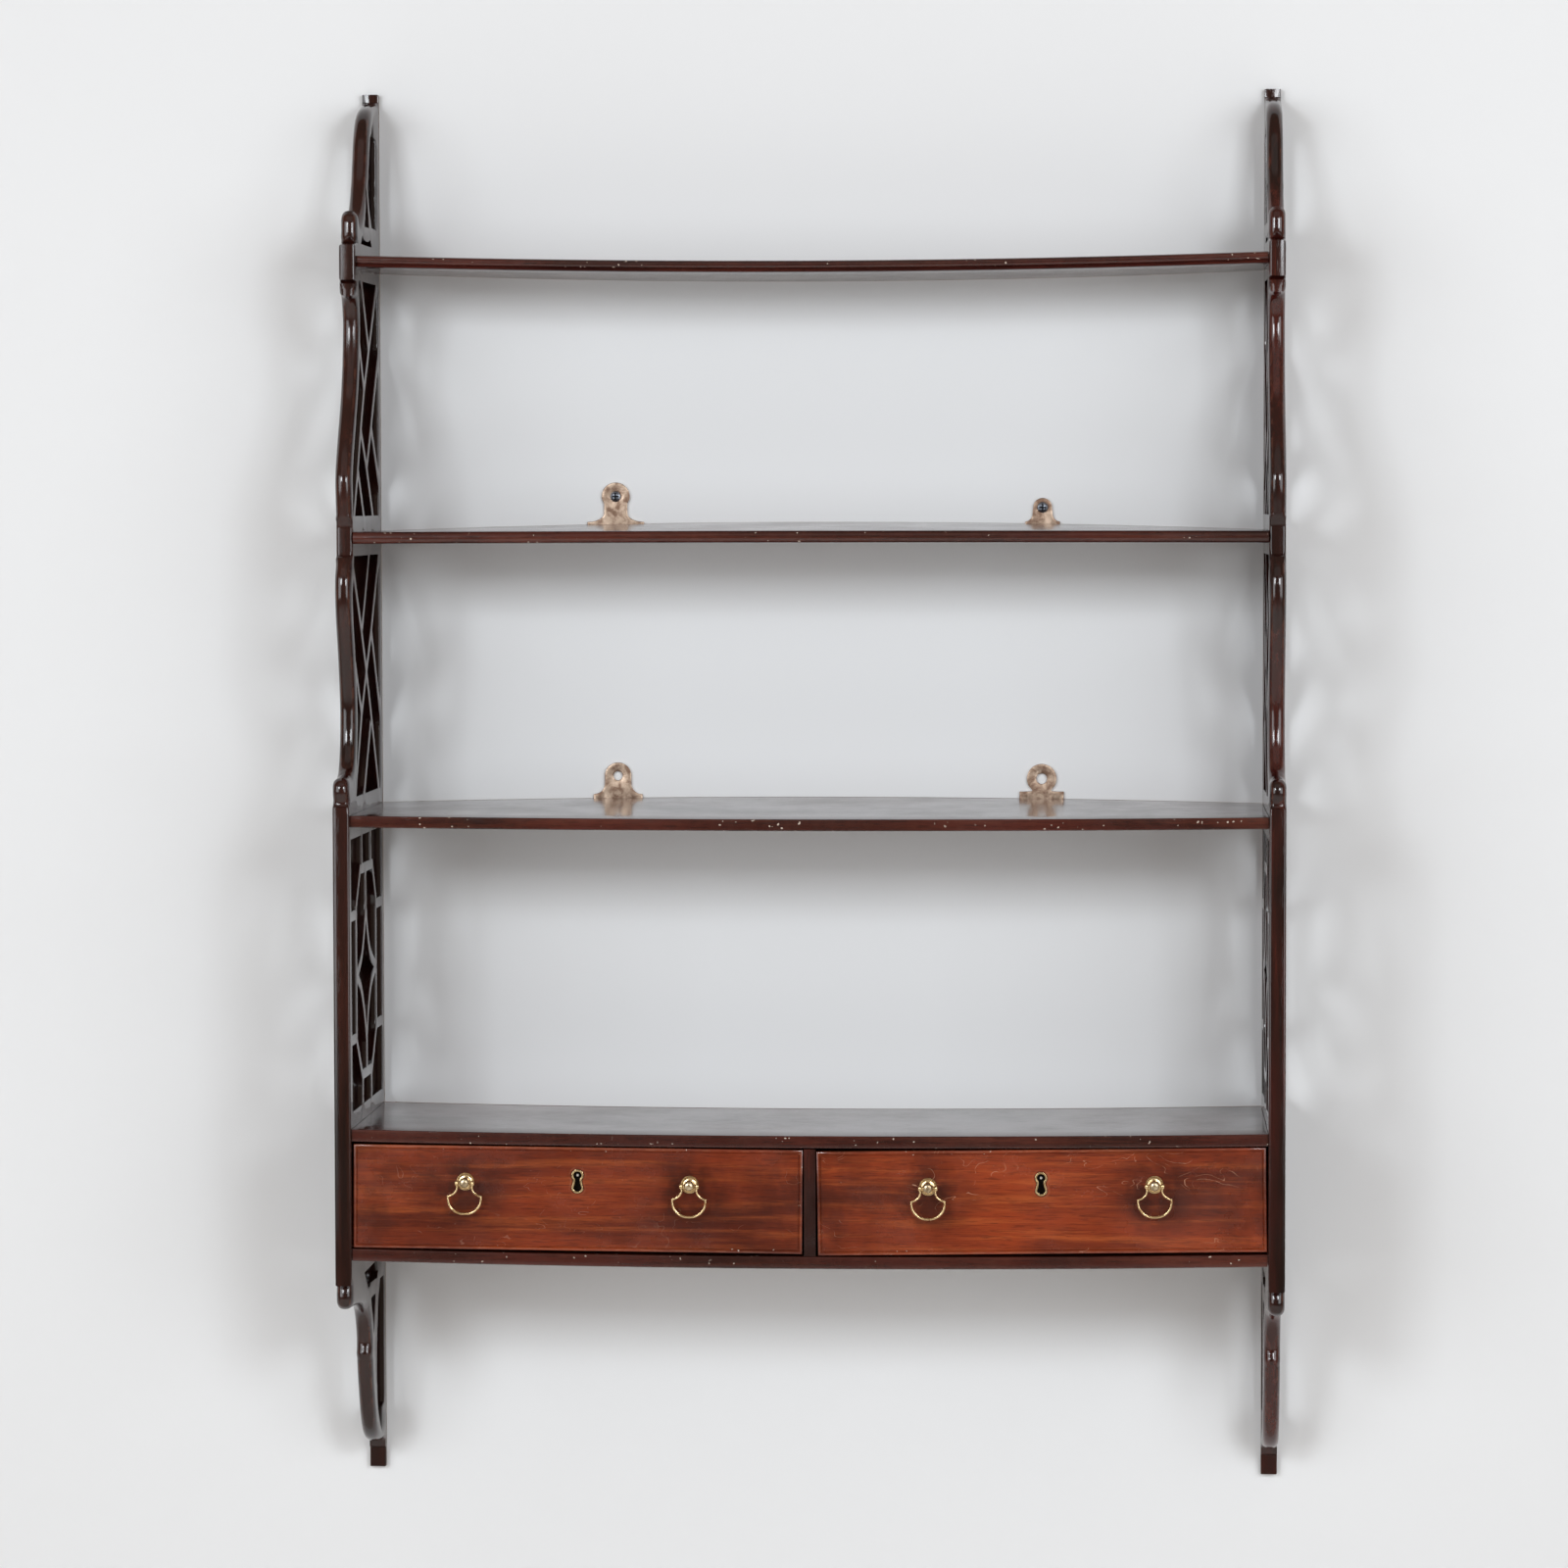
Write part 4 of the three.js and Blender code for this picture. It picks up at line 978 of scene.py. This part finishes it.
def wall_plate(place_name):
    node = f"wall_plate_{place_name}"
    low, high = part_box(node)
    loops = [rounded_runs(loop, 40) for loop in face_loops(node, 1, low.y)]
    thickness = high.y - low.y
    middle = (low.y + high.y) / 2

    def height(s_rim, near_rim, s_hole):
        return thickness / 2 - quarter_round(np.minimum(s_rim, s_hole), 0.45 * MM)

    def place(x, z, w):
        return (x, middle - w, z)

    hole_steps = [0.15 * MM, 0.45 * MM]
    rim_steps = [*hole_steps, 1.5 * MM]
    mesh = relief(f"plate_{place_name}", loops, rim_steps, hole_steps, height, place, 1.2 * MM, angle=60)
    return new_object(f"plate_{place_name}", mesh, "frame", BRASS_PLATE, [node])


def bevelled_node(node, material, width=0.3 * MM, segments=2):
    """A CAD solid that is already the right shape: softened arrises and its own finish."""
    obj = NODES[node]
    obj.data.materials.clear()
    obj.data.materials.append(material)
    bevel = obj.modifiers.new("softened", "BEVEL")
    bevel.width = width
    bevel.segments = segments
    bevel.limit_method = "ANGLE"
    bevel.angle_limit = math.radians(40)
    return obj


# ------------------------------------------------------------------ everything together

def build():
    for direction, node in ((-1, "side_left"), (1, "side_right")):
        fretted_side(node, direction)
    for node, style in (("shelf_top", "bead"), ("shelf_middle", "round"), ("shelf_low", "eased"),
                        ("case_bottom", "eased")):
        board(node, style)
    board("case_top", "eased", bolt_mortises("case_top"))
    bevelled_node("case_divider", DIVIDER_WOOD, 0.8 * MM)
    bevelled_node("case_back", BACKBOARD)
    for name in PLATES:
        wall_plate(name)
        for k in (1, 2):
            bevelled_node(f"plate_screw_{name}_{k}", IRON, 0.15 * MM)
    for name in ("upper_left", "upper_right"):
        bevelled_node(f"wall_screw_{name}", cross_head_steel(name), 0.25 * MM)
    for side in DRAWERS:
        drawer_front(side)
        escutcheon(side)
        for part, material in (("side_left", LINING_SIDE), ("side_right", LINING_SIDE), ("back", LINING),
                               ("bottom", LINING)):
            bevelled_node(f"drawer_{side}_{part}", material, 0.5 * MM)
        bevelled_node(f"drawer_{side}_lock_case", lock_metal(side))
        bevelled_node(f"drawer_{side}_lock_bolt", IRON)
        for end in ENDS:
            handle(side, end)
            bevelled_node(f"handle_nut_{side}_{end}", BRASS_DULL, 0.2 * MM)


# ------------------------------------------------------------------ stage, light and camera

WALL_Y = 0.8 * MM
WALL_HALF = 2.6
WALL_TOP = 1.9
FLOOR_Z = -1.5
FLOOR_HALF = 14


def sheet_object(name, corners, material):
    mesh = bpy.data.meshes.new(name)
    mesh.from_pydata(corners, [], [(0, 1, 2, 3)])
    mesh.materials.append(material)
    obj = bpy.data.objects.new(name, mesh)
    bpy.context.scene.collection.objects.link(obj)
    return obj


def see_through(surface, hidden):
    """The surface is clear where hidden is 1."""
    clear = surface.tree.nodes.new("ShaderNodeBsdfTransparent").outputs["BSDF"]
    switch = surface.tree.nodes.new("ShaderNodeMixShader")
    surface.link(hidden, switch.inputs[0])
    surface.link(surface.shader.outputs["BSDF"], switch.inputs[1])
    surface.link(clear, switch.inputs[2])
    surface.link(switch.outputs["Shader"], surface.tree.nodes["Material Output"].inputs["Surface"])


def from_behind(surface):
    return surface.tree.nodes.new("ShaderNodeNewGeometry").outputs["Backfacing"]


def stage():
    """A pale wall that the shelf hangs on and a pale floor far below, both clear from behind. The wall is
    clear too for light that leaves the shelf's own back, which lies against it."""
    wall = plain_stage("wall_paint", (0.80, 0.81, 0.82), 0.75)
    path = wall.tree.nodes.new("ShaderNodeLightPath").outputs["Ray Length"]
    touching = wall.ramp(path, 4 * MM, 5 * MM, 1, 0)
    see_through(wall, wall.math("MAXIMUM", from_behind(wall), touching))
    y, half, low, high = WALL_Y, WALL_HALF, FLOOR_Z, WALL_TOP
    corners = [(-half, y, low), (half, y, low), (half, y, high), (-half, y, high)]
    sheet_object("stage_wall", corners, wall.material)
    floor = plain_stage("floor_paint", (0.78, 0.75, 0.71), 0.8)
    see_through(floor, from_behind(floor))
    far = FLOOR_HALF
    corners = [(-far, -far, low), (far, -far, low), (far, far, low), (-far, far, low)]
    sheet_object("stage_floor", corners, floor.material)


def soft_light(name, location, target, size, power, colour):
    data = bpy.data.lights.new(name, "AREA")
    data.shape = "RECTANGLE"
    data.size, data.size_y = size
    data.energy = power
    data.color = colour
    obj = bpy.data.objects.new(name, data)
    obj.location = location
    obj.rotation_mode = "QUATERNION"
    obj.rotation_quaternion = (Vector(target) - Vector(location)).to_track_quat("-Z", "Y")
    bpy.context.scene.collection.objects.link(obj)


def lighting():
    """Two umbrellas either side of the camera, two tall diffusers further out, and a dim warm room."""
    cool, neutral = (0.915, 0.96, 1.0), (1.0, 0.995, 0.985)
    soft_light("left_umbrella", (-1.5, -3.5, 1.1), (0, -0.1, 0.1), (0.75, 0.75), 31, cool)
    soft_light("right_umbrella", (1.15, -2.8, 0.85), (0, -0.1, 0.1), (0.65, 0.65), 21.5, cool)
    soft_light("left_diffuser", (-2.9, -3.6, 0.5), (0, 0, -0.3), (2.5, 2.5), 60, cool)
    soft_light("right_diffuser", (2.9, -3.6, 0.5), (0, 0, -0.3), (2.5, 2.5), 60, cool)
    soft_light("ceiling_bounce", (0, -2.8, 2.5), (0, -0.2, -0.8), (4.0, 2.0), 6, neutral)
    soft_light("left_behind", (-2.4, 3.4, 1.1), (0, 0, 0), (1.8, 1.8), 55, neutral)
    soft_light("right_behind", (2.4, 3.4, 1.1), (0, 0, 0), (1.8, 1.8), 55, neutral)
    world = bpy.data.worlds.new("room")
    world.use_nodes = True
    background = world.node_tree.nodes["Background"]
    background.inputs["Color"].default_value = (1.0, 0.78, 0.61, 1)
    background.inputs["Strength"].default_value = 0.21
    bpy.context.scene.world = world
    bpy.context.scene.view_settings.view_transform = "Standard"


# Metres, degrees turned to radians, and millimetres of lens on a 36 mm sensor.
CAMERA_PLACE = (0.2222, -4.1071, 0.2335)
CAMERA_YAW, CAMERA_PITCH, CAMERA_ROLL = (math.radians(a) for a in (-3.487, -3.053, -0.109))
CAMERA_LENS = 123.33
CAMERA_SENSOR = 36


def camera():
    yaw, pitch, roll = CAMERA_YAW, CAMERA_PITCH, CAMERA_ROLL
    forward = Vector((math.sin(yaw) * math.cos(pitch), math.cos(yaw) * math.cos(pitch), math.sin(pitch)))
    right = Vector((math.cos(yaw), -math.sin(yaw), 0))
    up = right.cross(forward)
    rolled_right = right * math.cos(roll) + up * math.sin(roll)
    rolled_up = up * math.cos(roll) - right * math.sin(roll)
    data = bpy.data.cameras.new("camera")
    data.lens = CAMERA_LENS
    data.sensor_width = CAMERA_SENSOR
    obj = bpy.data.objects.new("camera", data)
    matrix = Matrix((rolled_right, rolled_up, -forward)).transposed().to_4x4()
    matrix.translation = CAMERA_PLACE
    obj.matrix_world = matrix
    bpy.context.scene.collection.objects.link(obj)
    bpy.context.scene.camera = obj


build()
stage()
lighting()
camera()
